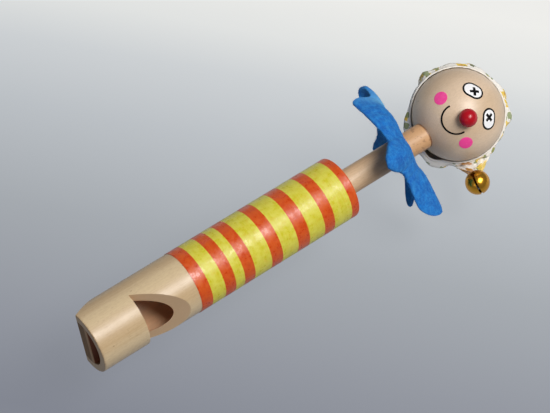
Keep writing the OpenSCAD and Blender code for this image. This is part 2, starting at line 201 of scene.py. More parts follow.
def new_group(
    name: str, inputs: dict[str, float | None], outputs: Sequence[str]
) -> tuple[Nodes, dict[str, Socket], bpy.types.Node]:
    """Start a node group.

    Args:
        name: The group's name.
        inputs: Input names with the values they begin at, or None for a vector.
        outputs: Names of the values that it puts out.

    Returns:
        Its nodes, its input sockets by name, and the node that takes its outputs.
    """
    tree = bpy.data.node_groups.new(name, "ShaderNodeTree")
    for socket, value in inputs.items():
        kind = "NodeSocketVector" if value is None else "NodeSocketFloat"
        made = tree.interface.new_socket(socket, in_out="INPUT", socket_type=kind)
        if value is not None:
            made.default_value = value
    for socket in outputs:
        tree.interface.new_socket(socket, in_out="OUTPUT", socket_type="NodeSocketFloat")
    nodes = Nodes(tree)
    start = nodes.add("NodeGroupInput")
    return nodes, {s: start.outputs[s] for s in inputs}, nodes.add("NodeGroupOutput")


def put_out(n: Nodes, out: bpy.types.Node, **values: Socket) -> bpy.types.NodeTree:
    """Join values to a group's outputs of the same names, and return its tree."""
    for name, value in values.items():
        n.tree.links.new(value, out.inputs[name])
    return n.tree


def make_grain(name: str) -> bpy.types.NodeTree:
    """Make the grain of turned wood: rings cut along the dowel, fine streaks and short dark flecks."""
    n, given, out = new_group(
        name, {"Vector": None, "Rings": 300.0, "Wander": 1.0, "Flecks": 0.5},
        ("Rings", "Streak", "Fleck", "Height"),
    )
    long = n.stretch(given["Vector"], RING_LIE)
    drift = n.noise(long, 55.0, 3.0)
    _, across, up = n.split(long)
    side = n.calc("ADD", across, n.times(up, 0.45))
    bent = n.calc("MULTIPLY_ADD", n.times(drift, given["Wander"]), 0.012, side)
    rings = n.span(n.calc("SINE", n.times(bent, given["Rings"])), -0.9, 1.1)
    streak = n.noise(n.stretch(given["Vector"], STREAK_LIE), 1500.0, 3.0, 0.6)
    flecks = n.span(n.noise(n.stretch(given["Vector"], FLECK_LIE), 2300.0, 1.0), 0.66, 0.78)
    fleck = n.times(flecks, given["Flecks"])
    height = n.calc("SUBTRACT", n.times(streak, 0.5), fleck)
    return put_out(n, out, Rings=rings, Streak=streak, Fleck=fleck, Height=height)


def make_brushed(name: str) -> bpy.types.NodeTree:
    """Make the marks of a brush held against turning work: fine rings, with thin and thick places."""
    n, given, out = new_group(name, {"Vector": None, "Lines": 2600.0}, ("Line", "Patch", "Height"))
    along, across, up = n.split(given["Vector"])
    around = n.calc("ARCTAN2", across, up)
    fine = n.add("ShaderNodeCombineXYZ", {0: along, 1: n.times(around, 0.00025)})
    line = n.noise(fine.outputs[0], given["Lines"], 2.0, 0.6)
    wide = n.add("ShaderNodeCombineXYZ", {0: along, 1: n.times(around, 0.0022)})
    patch = n.noise(wide.outputs[0], 420.0, 3.0)
    height = n.calc("MULTIPLY_ADD", patch, 0.6, n.times(line, 0.4))
    return put_out(n, out, Line=line, Patch=patch, Height=height)


def make_felt(name: str) -> bpy.types.NodeTree:
    """Make matted wool: fibres that lie every way, over soft clumps."""
    n, given, out = new_group(
        name, {"Vector": None, "Fibres": 900.0, "Clumps": 320.0}, ("Fibre", "Clump", "Height")
    )
    bend = n.add("ShaderNodeTexNoise", {"Vector": given["Vector"], "Scale": 700.0, "Detail": 2.0})
    bent = n.vector("ADD", given["Vector"], n.stretch(bend.outputs["Color"], WOOL_CURL)).outputs[0]
    fibres = [n.noise(n.stretch(bent, lie), given["Fibres"], 3.0, 0.65) for lie in WOOL_LIES]
    fibre = n.calc("MAXIMUM", n.calc("MAXIMUM", fibres[0], fibres[1]), fibres[2])
    clump = n.noise(given["Vector"], given["Clumps"], 3.0, 0.6)
    height = n.calc("MULTIPLY_ADD", clump, 0.7, fibre)
    sharp = n.span(fibre, 0.45, 0.75)
    return put_out(n, out, Fibre=sharp, Clump=clump, Height=height)


def make_weave(name: str) -> bpy.types.NodeTree:
    """Make plain woven threads on a flat pattern's own length and width."""
    n, given, out = new_group(name, {"Vector": None, "Threads": 2600.0}, ("Thread", "Height"))
    warp, weft, _ = n.split(given["Vector"])
    over = n.times(*(n.calc("SINE", n.times(way, given["Threads"])) for way in (warp, weft)))
    uneven = n.noise(given["Vector"], 1200.0, 2.0)
    height = n.calc("MULTIPLY_ADD", over, 0.5, uneven)
    thread = n.span(height, 0.0, 1.0)
    return put_out(n, out, Thread=thread, Height=height)


def make_flowers(name: str) -> bpy.types.NodeTree:
    """Make scattered flowers with lobed petals: petals, hearts and a pick for each flower."""
    n, given, out = new_group(
        name, {"Vector": None, "Density": 220.0, "Size": 0.36, "Petals": 5.0}, ("Petal", "Heart", "Pick")
    )
    sockets = {"Vector": given["Vector"], "Scale": given["Density"], "Randomness": 0.85}
    cells = n.add("ShaderNodeTexVoronoi", sockets, voronoi_dimensions="3D")
    scaled, middle = (
        n.add("ShaderNodeVectorMath", {0: place, "Scale": given["Density"]}, operation="SCALE").outputs[0]
        for place in (given["Vector"], cells.outputs["Position"])
    )
    across, up, _ = n.split(n.vector("SUBTRACT", scaled, middle).outputs[0])
    turn = n.calc("ARCTAN2", up, across)
    pick = n.add("ShaderNodeSeparateColor", {0: cells.outputs["Color"]}).outputs[0]
    spin = n.calc("MULTIPLY_ADD", turn, given["Petals"], n.times(pick, 6.28))
    lobes = n.calc("MULTIPLY_ADD", n.calc("COSINE", spin), 0.2, 0.8)
    reach = n.times(lobes, given["Size"])
    distance = cells.outputs["Distance"]
    petal = n.span(distance, reach, n.calc("SUBTRACT", reach, 0.05))
    heart = n.span(distance, n.times(given["Size"], 0.38), n.times(given["Size"], 0.26))
    return put_out(n, out, Petal=petal, Heart=heart, Pick=pick)


def make_specks(name: str) -> bpy.types.NodeTree:
    """Make tiny dark specks and the soft unevenness of a handled surface."""
    n, given, out = new_group(name, {"Vector": None, "Specks": 700.0, "Rarity": 0.8}, ("Speck", "Rub"))
    rare = n.calc("ADD", given["Rarity"], 0.04)
    speck = n.span(n.noise(given["Vector"], given["Specks"], 0.0), given["Rarity"], rare)
    rub = n.noise(given["Vector"], 90.0, 4.0, 0.6)
    return put_out(n, out, Speck=speck, Rub=rub)


EFFECT_MAKERS: dict[Effect, Callable[[str], bpy.types.NodeTree]] = {
    Effect.GRAIN: make_grain,
    Effect.BRUSHED: make_brushed,
    Effect.FELT: make_felt,
    Effect.WEAVE: make_weave,
    Effect.FLOWERS: make_flowers,
    Effect.SPECKS: make_specks,
}


@dataclass(frozen=True)
class Finish:
    """What every finish has: a name, and its surface with its relief in metres."""

    name: str
    roughness: float = 0.5
    gloss: float = 0.5
    bump: float = 0.0
    relief: float = 0.0

    @property
    def title(self) -> str:
        """Return the material's name, which differs from those of the frame's own materials."""
        return f"{self.name}_finish"

    def start(self) -> tuple[Nodes, bpy.types.Node, Socket]:
        """Make an empty material with a Principled shader.

        Returns:
            Its nodes, the shader, and a place on the object in metres.
        """
        material = bpy.data.materials.new(self.title)
        material.use_nodes = True
        material.node_tree.nodes.clear()
        n = Nodes(material.node_tree)
        sockets = {"Roughness": self.roughness, "Specular IOR Level": self.gloss}
        shader = n.add("ShaderNodeBsdfPrincipled", sockets)
        n.add("ShaderNodeOutputMaterial", {0: shader.outputs[0]})
        return n, shader, n.add("ShaderNodeTexCoord").outputs["Object"]

    def dress(
        self, n: Nodes, shader: bpy.types.Node, height: Socket, colour: Socket, rough: Socket | None = None
    ) -> None:
        """Join what varies over the surface to the shader.

        Args:
            n: The material's nodes.
            shader: Its Principled shader.
            height: Height from 0 to 1.
            colour: The surface's colour.
            rough: Its roughness, where it varies.
        """
        bump = n.add("ShaderNodeBump", {"Height": height, "Strength": self.bump, "Distance": self.relief})
        n.tree.links.new(bump.outputs[0], shader.inputs["Normal"])
        n.tree.links.new(colour, shader.inputs["Base Color"])
        if rough is not None:
            n.tree.links.new(rough, shader.inputs["Roughness"])

    def build(self) -> bpy.types.Material:
        """Make the material, or return the one made before."""
        if self.title not in bpy.data.materials:
            self.paint()
        return bpy.data.materials[self.title]

    def paint(self) -> None:
        """Make the material's nodes."""
        raise NotImplementedError


@dataclass(frozen=True)
class BareWood(Finish):
    """Turned and lightly sanded wood with its grain along X."""

    pale: Triple = (222, 196, 158)
    deep: Triple = (196, 162, 120)
    fleck: Triple = (140, 100, 66)
    rings: float = 420.0
    wander: float = 1.2
    flecks: float = 0.5
    rarity: float = 0.84
    mottle: float = 0.0
    mottle_scale: float = 2700.0
    speck_scale: float = 620.0
    ring_weight: float = 0.45
    streak_weight: float = 0.6
    fleck_weight: float = 0.55
    speck_weight: float = 0.6
    handled: float = 0.16
    relief: float = 0.00006

    def paint(self) -> None:
        """Make the wood's nodes."""
        n, shader, place = self.start()
        grain = n.group(
            Effect.GRAIN.tree(), Vector=place, Rings=self.rings, Wander=self.wander, Flecks=self.flecks
        )
        rub = n.group(Effect.SPECKS.tree(), Vector=place, Specks=self.speck_scale, Rarity=self.rarity)
        streaks = n.times(grain.outputs["Streak"], self.streak_weight)
        tone = n.calc("MULTIPLY_ADD", grain.outputs["Rings"], self.ring_weight, streaks)
        colour = n.mix(n.span(tone, 0.15, 0.9), tint(*self.pale), tint(*self.deep))
        spots = n.noise(n.stretch(place, MOTTLE_LIE), self.mottle_scale, 2.0)
        marks = (
            (n.span(spots, 0.42, 0.66), self.mottle), (grain.outputs["Fleck"], self.fleck_weight),
            (rub.outputs["Speck"], self.speck_weight),
        )
        for mark, weight in marks:
            colour = n.mix(n.times(mark, weight), colour, tint(*self.fleck))
        colour = self.shade(n, place, colour, grain)
        rough = n.calc("MULTIPLY_ADD", rub.outputs["Rub"], self.handled, self.roughness - self.handled / 2)
        self.dress(n, shader, grain.outputs["Height"], colour, rough)

    def shade(self, n: Nodes, place: Socket, colour: Socket, grain: bpy.types.Node) -> Socket:
        """Return the colour with what a place on the piece changes: nothing on plain wood."""
        return colour


@dataclass(frozen=True)
class BarrelWood(BareWood):
    """The barrel's wood, reddish where the bore was drilled and darker red near the mouth, which is partly
    painted shade, and browned round the mouth's edge.
    """

    bore: Triple = (232, 180, 142)
    red_bore_and_shade: Triple = (150, 76, 50)
    cut: Triple = (206, 172, 134)
    end: Triple = (216, 180, 132)
    burnt: Triple = (136, 98, 64)
    red_shade_to: float = 12.0
    bore_r: float = 9.0
    outer_r: float = 12.0
    bore_weight: float = 0.92
    cut_weight: float = 0.85
    end_weight: float = 0.6
    burnt_weight: float = 0.35

    def shade(self, n: Nodes, place: Socket, colour: Socket, grain: bpy.types.Node) -> Socket:
        """Return the colour with the bore's wood, its painted shade near the mouth, and the edges' darker
        wood.

        Args:
            n: The material's nodes.
            place: Place on the object in metres.
            colour: The wood's own colour.
            grain: The grain's node.

        Returns:
            The shaded colour.
        """
        along = n.split(place)[0]
        radius = n.vector("LENGTH", n.stretch(place, (0.0, 1.0, 1.0))).outputs["Value"]
        inside = n.span(radius, (self.bore_r + 0.12) * MM, (self.bore_r + 0.02) * MM)
        outside = n.calc("SUBTRACT", 1.0, inside)
        beyond_mouth = n.span(along, 0.2 * MM, 0.6 * MM)
        # Painted shade inside the windway: the bore near the mouth is darker, over its own redder wood.
        red = n.span(along, (self.red_shade_to + 3) * MM, (self.red_shade_to - 1) * MM)
        drilled = n.mix(red, tint(*self.bore), tint(*self.red_bore_and_shade))
        scrape = n.mix(n.times(grain.outputs["Streak"], 0.5), drilled, colour)
        colour = n.mix(n.times(n.times(inside, beyond_mouth), self.bore_weight), colour, scrape)
        under_skin = n.span(radius, (self.outer_r - 0.02) * MM, (self.outer_r - 0.12) * MM)
        carved = n.times(n.times(under_skin, beyond_mouth), outside)
        colour = n.mix(n.times(carved, self.cut_weight), colour, tint(*self.cut))
        sawn = n.times(n.span(along, 0.2 * MM, 0.06 * MM), outside)
        colour = n.mix(n.times(sawn, self.end_weight), colour, tint(*self.end))
        near_end = n.span(along, 1.0 * MM, 0.1 * MM)
        rim = n.span(radius, (self.outer_r - 1.3) * MM, (self.outer_r - 0.2) * MM)
        edge = n.times(n.times(near_end, rim), n.span(grain.outputs["Streak"], 0.3, 0.6))
        return n.mix(n.times(edge, self.burnt_weight), colour, tint(*self.burnt))


@dataclass(frozen=True)
class BlockWood(BareWood):
    """The block's wood, brown on its end with a paler strip beside the windway."""

    strip: Triple = (200, 164, 124)
    brown: Triple = (142, 112, 70)
    strip_way: Triple = (0.0, -0.9816, 0.1908)
    strip_at: float = 1.6

    def shade(self, n: Nodes, place: Socket, colour: Socket, grain: bpy.types.Node) -> Socket:
        """Return the colour with the end's own tones.

        Args:
            n: The material's nodes.
            place: Place on the object in metres.
            colour: The wood's own colour.
            grain: The grain's node.

        Returns:
            The shaded colour.
        """
        depth = n.vector("DOT_PRODUCT", place, self.strip_way).outputs["Value"]
        beside = n.span(depth, (self.strip_at - 0.4) * MM, (self.strip_at + 0.2) * MM)
        bare = n.mix(beside, tint(*self.brown), tint(*self.strip))
        end = n.mix(n.times(grain.outputs["Streak"], 0.3), bare, colour)
        return n.mix(n.span(n.split(place)[0], 0.3 * MM, 0.1 * MM), colour, end)


@dataclass(frozen=True)
class RodWood(BareWood):
    """The dowel's wood, with painted warm light on the neck under the ball, and painted shade where it enters
    the ball.
    """

    neck: Triple = (206, 154, 104)
    crack: Triple = (140, 88, 50)
    joint_shade: Triple = (112, 72, 44)
    crack_scale: float = 620.0
    crack_weight: float = 0.55
    neck_weight: float = 0.85
    neck_x: float = 143.0
    joint_x: float = 152.5

    def shade(self, n: Nodes, place: Socket, colour: Socket, grain: bpy.types.Node) -> Socket:
        """Return the colour with painted warm light and real cracks on the neck, and painted shade at the
        ball.

        Args:
            n: The material's nodes.
            place: Place on the object in metres.
            colour: The wood's own colour.
            grain: The grain's node.

        Returns:
            The shaded colour.
        """
        along = n.split(place)[0]
        # Painted warm light on the neck, over which the real cracks are drawn.
        on_neck = n.span(along, (self.neck_x - 1.0) * MM, (self.neck_x + 1.0) * MM)
        warm = n.mix(n.times(grain.outputs["Streak"], 0.35), tint(*self.neck), colour)
        cracks = n.noise(n.stretch(place, CRACK_LIE), self.crack_scale, 3.0, 0.65)
        warm = n.mix(n.times(n.span(cracks, 0.54, 0.64), self.crack_weight), warm, tint(*self.crack))
        colour = n.mix(n.times(on_neck, self.neck_weight), colour, warm)
        # Painted shade: a dark ring round the rod where it enters the ball.
        line = n.span(along, (self.joint_x - 0.5) * MM, self.joint_x * MM)
        return n.mix(n.times(line, self.neck_weight), colour, tint(*self.joint_shade))


@dataclass(frozen=True)
class BrushedPaint(Finish):
    """Satin paint, brushed on while the barrel turned, with dabs that break up its shine."""

    full: Triple = (214, 84, 36)
    thin: Triple = (226, 120, 64)
    tinge: Triple = (190, 60, 20)
    tinged: float = 0.3
    tinge_scale: float = 640.0
    brush_lines: float = 2600.0
    dab_scale: float = 520.0
    dab_weight: float = 0.55
    dab_dull: float = 0.24
    speck_scale: float = 900.0
    speck_dark: float = 0.72
    speck_weight: float = 0.12
    relief: float = 0.00011

    def paint(self) -> None:
        """Make the paint's nodes."""
        n, shader, place = self.start()
        marks = n.group(Effect.BRUSHED.tree(), Vector=place, Lines=self.brush_lines)
        specks = n.group(Effect.SPECKS.tree(), Vector=place, Specks=self.speck_scale, Rarity=0.83)
        dabs = n.noise(place, self.dab_scale, 3.0, 0.6)
        tone = n.calc("MULTIPLY_ADD", marks.outputs["Line"], 0.25, n.times(marks.outputs["Patch"], 0.3))
        tone = n.calc("MULTIPLY_ADD", dabs, self.dab_weight, tone)
        colour = n.mix(n.span(tone, 0.42, 0.68), tint(*self.full), tint(*self.thin))
        under = n.span(n.noise(place, self.tinge_scale, 3.0, 0.6), 0.52, 0.66)
        colour = n.mix(n.times(under, self.tinged), colour, tint(*self.tinge))
        dark = tuple(int(c * self.speck_dark) for c in self.full)
        colour = n.mix(n.times(specks.outputs["Speck"], self.speck_weight), colour, tint(*dark))
        rough = n.calc("MULTIPLY_ADD", n.span(dabs, 0.35, 0.65), self.dab_dull, self.roughness - 0.1)
        self.dress(n, shader, n.calc("MULTIPLY_ADD", marks.outputs["Height"], 0.35, dabs), colour, rough)


@dataclass(frozen=True)
class PrintedInk(Finish):
    """Ink or thick lacquer, slightly uneven."""

    colour: Triple = (255, 75, 150)
    worn: Triple = (250, 120, 175)
    speck_scale: float = 1400.0
    speck_weight: float = 0.35
    fine_scale: float = 900.0
    worn_weight: float = 0.6
    handled: float = 0.12
    relief: float = 0.00003

    def paint(self) -> None:
        """Make the ink's nodes."""
        n, shader, place = self.start()
        rub = n.group(Effect.SPECKS.tree(), Vector=place, Specks=self.speck_scale, Rarity=0.72)
        fine = n.noise(place, self.fine_scale, 3.0)
        tone = n.span(n.calc("MULTIPLY_ADD", fine, 0.5, n.times(rub.outputs["Rub"], 0.5)), 0.42, 0.66)
        colour = n.mix(n.times(tone, self.worn_weight), tint(*self.colour), tint(*self.worn))
        colour = n.mix(n.times(rub.outputs["Speck"], self.speck_weight), colour, tint(*self.worn))
        rough = n.calc("MULTIPLY_ADD", fine, self.handled, self.roughness - self.handled / 2)
        self.dress(n, shader, fine, colour, rough)


@dataclass(frozen=True)
class WoolFelt(Finish):
    """Matted wool, paler with painted light where the mesh marks a lit strip."""

    colour: Triple = (10, 114, 200)
    deep: Triple = (4, 88, 178)
    light: Triple = (70, 168, 230)
    # The pale colour and its weight paint a highlight on the felt's lit strip.
    pale: Triple = (126, 198, 240)
    rub: float = 0.9
    fibres: float = 1500.0
    fibre_weight: float = 0.42
    clumps: float = 420.0
    sheen: float = 0.3
    sheen_rough: float = 0.5
    relief: float = 0.0003

    def paint(self) -> None:
        """Make the felt's nodes."""
        n, shader, place = self.start()
        wool = n.group(Effect.FELT.tree(), Vector=place, Fibres=self.fibres, Clumps=self.clumps)
        colour = n.mix(n.span(wool.outputs["Clump"], 0.3, 0.7), tint(*self.deep), tint(*self.colour))
        rubbed = n.add("ShaderNodeAttribute", attribute_name="rubbed").outputs["Fac"]
        # Painted highlight: the felt turns paler where the mesh marks its lit strip.
        colour = n.mix(n.times(rubbed, self.rub), colour, tint(*self.pale))
        colour = n.mix(n.times(wool.outputs["Fibre"], self.fibre_weight), colour, tint(*self.light))
        shader.inputs["Sheen Weight"].default_value = self.sheen
        shader.inputs["Sheen Roughness"].default_value = self.sheen_rough
        shader.inputs["Sheen Tint"].default_value = tint(*self.light)
        self.dress(n, shader, wool.outputs["Height"], colour)


@dataclass(frozen=True)
class PrintedCotton(Finish):
    """Thin white cotton printed with small flowers and leaves."""

    ground: Triple = (248, 246, 240)
    yellow: Triple = (240, 206, 84)
    gold: Triple = (204, 140, 50)
    leaf: Triple = (132, 150, 90)
    dark_leaf: Triple = (72, 92, 56)
    rust: Triple = (206, 140, 70)
    flower: Triple = (235.0, 0.54, 5.0)
    leaves: Triple = (270.0, 0.52, 2.0)
    leaves_aside: Triple = (0.011, 0.017, 0.0)
    picked: Pair = (0.2, 0.24)
    ink: float = 0.85
    heart_weight: float = 0.7
    blot_scale: float = 900.0
    blot_shift: Triple = (0.0016, -0.0016, 0.0)
    tip: Triple = (0.1645, -0.018, -0.015)
    tip_reach: Pair = (0.0065, 0.0085)
    across: Triple = (0.7975, -0.6033, 0.0)
    gold_shade_to: Pair = (0.0008, 0.0016)
    yellow_from: Pair = (0.0032, 0.004)
    uneven: float = 0.006
    threads: float = 9000.0
    thread_weight: float = 0.1
    sheen: float = 0.15
    relief: float = 0.00008

    def blossoms(self, n: Nodes, place: Socket, blot: Socket, shown: Socket, colour: Socket) -> Socket:
        """Add the large blossoms that fall on the gathered tip: gold on its left side, where the print is
        darkened with painted shade, and yellow on its right.

        Args:
            n: The material's nodes.
            place: Place on the object in metres.
            blot: Noise that makes the blossoms' edges uneven.
            shown: 1 on the printed side.
            colour: The print so far.

        Returns:
            The print with the blossoms.
        """
        off = n.vector("SUBTRACT", place, self.tip).outputs[0]
        near = n.times(n.span(n.vector("LENGTH", off).outputs["Value"], *self.tip_reach, 1.0, 0.0), shown)
        sideways = n.vector("DOT_PRODUCT", off, self.across).outputs["Value"]
        side = n.calc("MULTIPLY_ADD", blot, self.uneven, sideways)
        # Painted shade: the gold marks the tip's darker side, over the print; the yellow on the other side is
        # print.
        left = n.times(near, n.span(side, *self.gold_shade_to, 1.0, 0.0))
        right = n.times(near, n.span(side, *self.yellow_from))
        colour = n.mix(n.times(left, self.ink), colour, tint(*self.gold))
        return n.mix(n.times(right, self.ink), colour, tint(*self.yellow))

    def printed(self, n: Nodes, place: Socket, flower: Triple) -> tuple[bpy.types.Node, Socket]:
        """Return scattered flowers and where their petals show.

        Args:
            n: The material's nodes.
            place: Place on the object in metres.
            flower: How many there are to a metre, their size in the space that they have, and their petals.

        Returns:
            The flowers' node, and 1 on the petals.
        """
        density, size, petals = flower
        node = n.group(Effect.FLOWERS.tree(), Vector=place, Density=density, Size=size, Petals=petals)
        return node, n.times(node.outputs["Petal"], n.span(node.outputs["Pick"], *self.picked))

    def paint(self) -> None:
        """Make the print's nodes."""
        n, shader, place = self.start()
        cloth = n.add("ShaderNodeAttribute", attribute_name="cloth").outputs["Vector"]
        plain = n.add("ShaderNodeAttribute", attribute_name="plain").outputs["Fac"]
        shown = n.calc("SUBTRACT", 1.0, n.span(plain, 0.1, 0.9))
        blot = n.noise(place, self.blot_scale, 2.0)
        blots = n.add("ShaderNodeCombineXYZ", {0: blot, 1: blot}).outputs[0]
        drawn = n.vector("ADD", place, n.stretch(blots, self.blot_shift)).outputs[0]
        big, flowery = self.printed(n, drawn, self.flower)
        small, leafy = self.printed(n, n.vector("ADD", drawn, self.leaves_aside).outputs[0], self.leaves)
        bloom = n.mix(n.span(big.outputs["Pick"], 0.8, 0.84), tint(*self.yellow), tint(*self.gold))
        bloom = n.mix(n.times(big.outputs["Heart"], self.heart_weight), bloom, tint(*self.rust))
        leaf = n.mix(n.span(small.outputs["Pick"], 0.75, 0.8), tint(*self.leaf), tint(*self.dark_leaf))
        colour = n.mix(n.times(flowery, shown), tint(*self.ground), bloom)
        colour = n.mix(n.times(n.times(leafy, shown), self.ink), colour, leaf)
        colour = self.blossoms(n, place, blot, shown, colour)
        weave = n.group(Effect.WEAVE.tree(), Vector=cloth, Threads=self.threads)
        threads = n.times(weave.outputs["Thread"], self.thread_weight)
        colour = n.mix(threads, colour, tint(*self.gold), "MULTIPLY")
        shader.inputs["Sheen Weight"].default_value = self.sheen
        self.dress(n, shader, weave.outputs["Height"], colour)


@dataclass(frozen=True)
class PlainThread(Finish):
    """Twisted sewing thread."""

    colour: Triple = (236, 232, 220)
    shade: Triple = (190, 182, 164)
    fibres: float = 2600.0
    fibre_weight: float = 0.5
    clumps: float = 900.0
    relief: float = 0.00008

    def paint(self) -> None:
        """Make the thread's nodes."""
        n, shader, place = self.start()
        wool = n.group(Effect.FELT.tree(), Vector=place, Fibres=self.fibres, Clumps=self.clumps)
        fibres = n.times(wool.outputs["Fibre"], self.fibre_weight)
        colour = n.mix(fibres, tint(*self.colour), tint(*self.shade))
        self.dress(n, shader, wool.outputs["Height"], colour)


@dataclass(frozen=True)
class Metal(Finish):
    """Polished or plain metal, with fine scratches and tarnish."""

    colour: Triple = (226, 178, 84)
    dull: Triple = (176, 128, 56)
    lacquer: float = 0.0
    lacquer_rough: float = 0.22
    speck_scale: float = 1500.0
    speck_weight: float = 0.5
    scratch_scale: float = 4200.0
    scratch_dull: float = 0.08
    tarnish_weight: float = 0.6
    tarnish_dull: float = 0.12
    relief: float = 0.00001

    def paint(self) -> None:
        """Make the metal's nodes."""
        n, shader, place = self.start()
        rub = n.group(Effect.SPECKS.tree(), Vector=place, Specks=self.speck_scale, Rarity=0.74)
        scratch = n.noise(n.stretch(place, SCRATCH_LIE), self.scratch_scale, 2.0, 0.7)
        tarnish = n.span(rub.outputs["Rub"], 0.45, 0.75)
        colour = n.mix(n.times(tarnish, self.tarnish_weight), tint(*self.colour), tint(*self.dull))
        colour = n.mix(n.times(rub.outputs["Speck"], self.speck_weight), colour, tint(*self.dull))
        rough = n.calc("MULTIPLY_ADD", scratch, self.scratch_dull, self.roughness - self.scratch_dull / 2)
        rough = n.calc("MULTIPLY_ADD", tarnish, self.tarnish_dull, rough)
        shader.inputs["Metallic"].default_value = 1.0
        shader.inputs["Coat Weight"].default_value = self.lacquer
        shader.inputs["Coat Roughness"].default_value = self.lacquer_rough
        self.dress(n, shader, scratch, colour, rough)


def wear(node: str, finish: Finish) -> None:
    """Give a CAD node its finish and report it.

    Args:
        node: Name of the CAD node, which keeps its shape.
        finish: The finish it wears.
    """
    piece = frame["nodes"][node]
    for place in piece.material_slots:
        place.material = finish.build()
    log.info("%s: CAD node, %s", node, finish.name)


def new_piece(
    name: str, points: np.ndarray, faces: Sequence[Sequence[int]], finish: Finish, body: str
) -> bpy.types.Object:
    """Make a smooth mesh piece, ride it on a body and report it.

    Args:
        name: The piece's name.
        points: Its points, in millimetres.
        faces: Its faces, each a row of point numbers.
        finish: The finish it wears.
        body: The CAD body that it moves with.

    Returns:
        The new object.
    """
    mesh = bpy.data.meshes.new(name)
    mesh.from_pydata((np.asarray(points) * MM).tolist(), [], [list(f) for f in faces])
    mesh.validate()
    mesh.polygons.foreach_set("use_smooth", [True] * len(mesh.polygons))
    mesh.materials.append(finish.build())
    piece = bpy.data.objects.new(name, mesh)
    bpy.context.scene.collection.objects.link(piece)
    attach(piece, body)
    log.info("%s: %d points on %s, %s", name, len(mesh.vertices), body, finish.name)
    return piece


def band_faces(rows: int, steps: int, closed: bool, start: int = 0) -> list[tuple[int, int, int, int]]:
    """Return the quads of a sheet of rings.

    Args:
        rows: Number of rings of points.
        steps: Points in each ring, which joins up with itself.
        closed: Whether the last ring joins the first one too.
        start: Number of the sheet's first point.

    Returns:
        The quads' point numbers.
    """
    faces = []
    for i in range(rows if closed else rows - 1):
        for k in range(steps):
            a, b = start + i * steps, start + (i + 1) % rows * steps
            faces.append((a + k, a + (k + 1) % steps, b + (k + 1) % steps, b + k))
    return faces


def wobble(at: np.ndarray, scale: float, seed: float = 0.0) -> np.ndarray:
    """Return smooth noise from -1 to 1 at points, the same at each run.

    Args:
        at: Points, in millimetres.
        scale: Size of the noise's bumps, in millimetres.
        seed: Shift that picks another noise.

    Returns:
        One value for each point.
    """
    flat = np.asarray(at, float).reshape(-1, 3) / scale + seed
    return np.array([noise.noise(Vector(p)) for p in flat]).reshape(np.shape(at)[:-1])


def lumps(at: np.ndarray, layers: Sequence[Triple]) -> np.ndarray:
    """Return smooth noise at points, added up from layers with a size in millimetres, a seed and a height."""
    return sum(wobble(at, size, seed) * height for size, seed, height in layers)


def tube(path: np.ndarray, radius: np.ndarray | float, sides: int = 8) -> tuple[np.ndarray, list]:
    """Make a closed-ended tube along a path.

    Args:
        path: Points of its middle line.
        radius: Its radius, one for all or one for each point.
        sides: Points round it.

    Returns:
        Its points and its faces.
    """
    path = np.asarray(path, float)
    ahead = np.gradient(path, axis=0)
    ahead /= np.linalg.norm(ahead, axis=1)[:, None]
    side = np.cross(ahead[0], [0.31, 0.87, 0.39])
    frames = []
    for direction in ahead:
        side = unit(side - (side @ direction) * direction)
        frames.append((side, np.cross(direction, side)))
    turn = np.linspace(0, 2 * np.pi, sides, endpoint=False)
    radii = np.broadcast_to(radius, len(path))
    points = [
        p + r * (np.outer(np.cos(turn), u) + np.outer(np.sin(turn), v))
        for p, r, (u, v) in zip(path, radii, frames)
    ]
    faces: list = band_faces(len(path), sides, False)
    last = (len(path) - 1) * sides
    faces += [tuple(range(sides - 1, -1, -1)), tuple(range(last, last + sides))]
    return np.concatenate(points), faces


def smoothed(table: np.ndarray, column: int, turn: np.ndarray, shifts: Sequence[float]) -> np.ndarray:
    """Read a table that goes round in degrees, with its corners rounded.

    Args:
        table: Rows that begin with a direction in degrees.
        column: The column that is read.
        turn: Directions in degrees.
        shifts: Turns beside each direction over which the result is averaged.

    Returns:
        One value for each direction.
    """
    near = [np.interp((turn + k) % 360, table[:, 0], table[:, column], period=360) for k in shifts]
    return np.mean(near, axis=0)


def joined(parts: Sequence[tuple[np.ndarray, list]]) -> tuple[np.ndarray, list]:
    """Join several sets of points and faces into one."""
    points, faces, start = [], [], 0
    for some, of_them in parts:
        points.append(some)
        faces += [tuple(start + i for i in f) for f in of_them]
        start += len(some)
    return np.concatenate(points), faces


@dataclass
class Barrel:
    """The wooden barrel with its painted bands, its block and its bush."""

    wood: Finish = BarrelWood(
        "barrel_wood", roughness=0.4, gloss=0.8, bump=0.5, pale=(220, 197, 158), deep=(198, 168, 126),
        fleck=(160, 124, 90), flecks=0.5, mottle=0.13,
    )
    # Its dark red-brown is partly the block's own wood and partly painted shade of the windway.
    block_wood: Finish = BlockWood(
        "block_wood", roughness=0.6, bump=0.5, pale=(150, 88, 60), deep=(118, 64, 42), fleck=(80, 46, 32),
        rings=600.0,
    )
    bush_wood: Finish = BareWood(
        "bush_wood", roughness=0.6, bump=0.5, pale=(170, 124, 84), deep=(134, 90, 56), fleck=(86, 52, 32),
        rings=500.0,
    )
    orange: Finish = BrushedPaint(
        "orange_paint", roughness=0.36, gloss=0.58, bump=0.75, full=(208, 70, 0), thin=(218, 90, 8),
        tinge=(190, 58, 2),
    )
    yellow: Finish = BrushedPaint(
        "yellow_paint", roughness=0.36, gloss=0.5, bump=0.75, full=(210, 200, 44), thin=(224, 218, 86),
        tinge=(220, 184, 54),
    )

    def build(self) -> None:
        """Dress the barrel's CAD nodes."""
        wear("barrel", self.wood)
        wear("fipple_block", self.block_wood)
        wear("guide_bush", self.bush_wood)
        wear("orange_bands", self.orange)
        wear("yellow_bands", self.yellow)


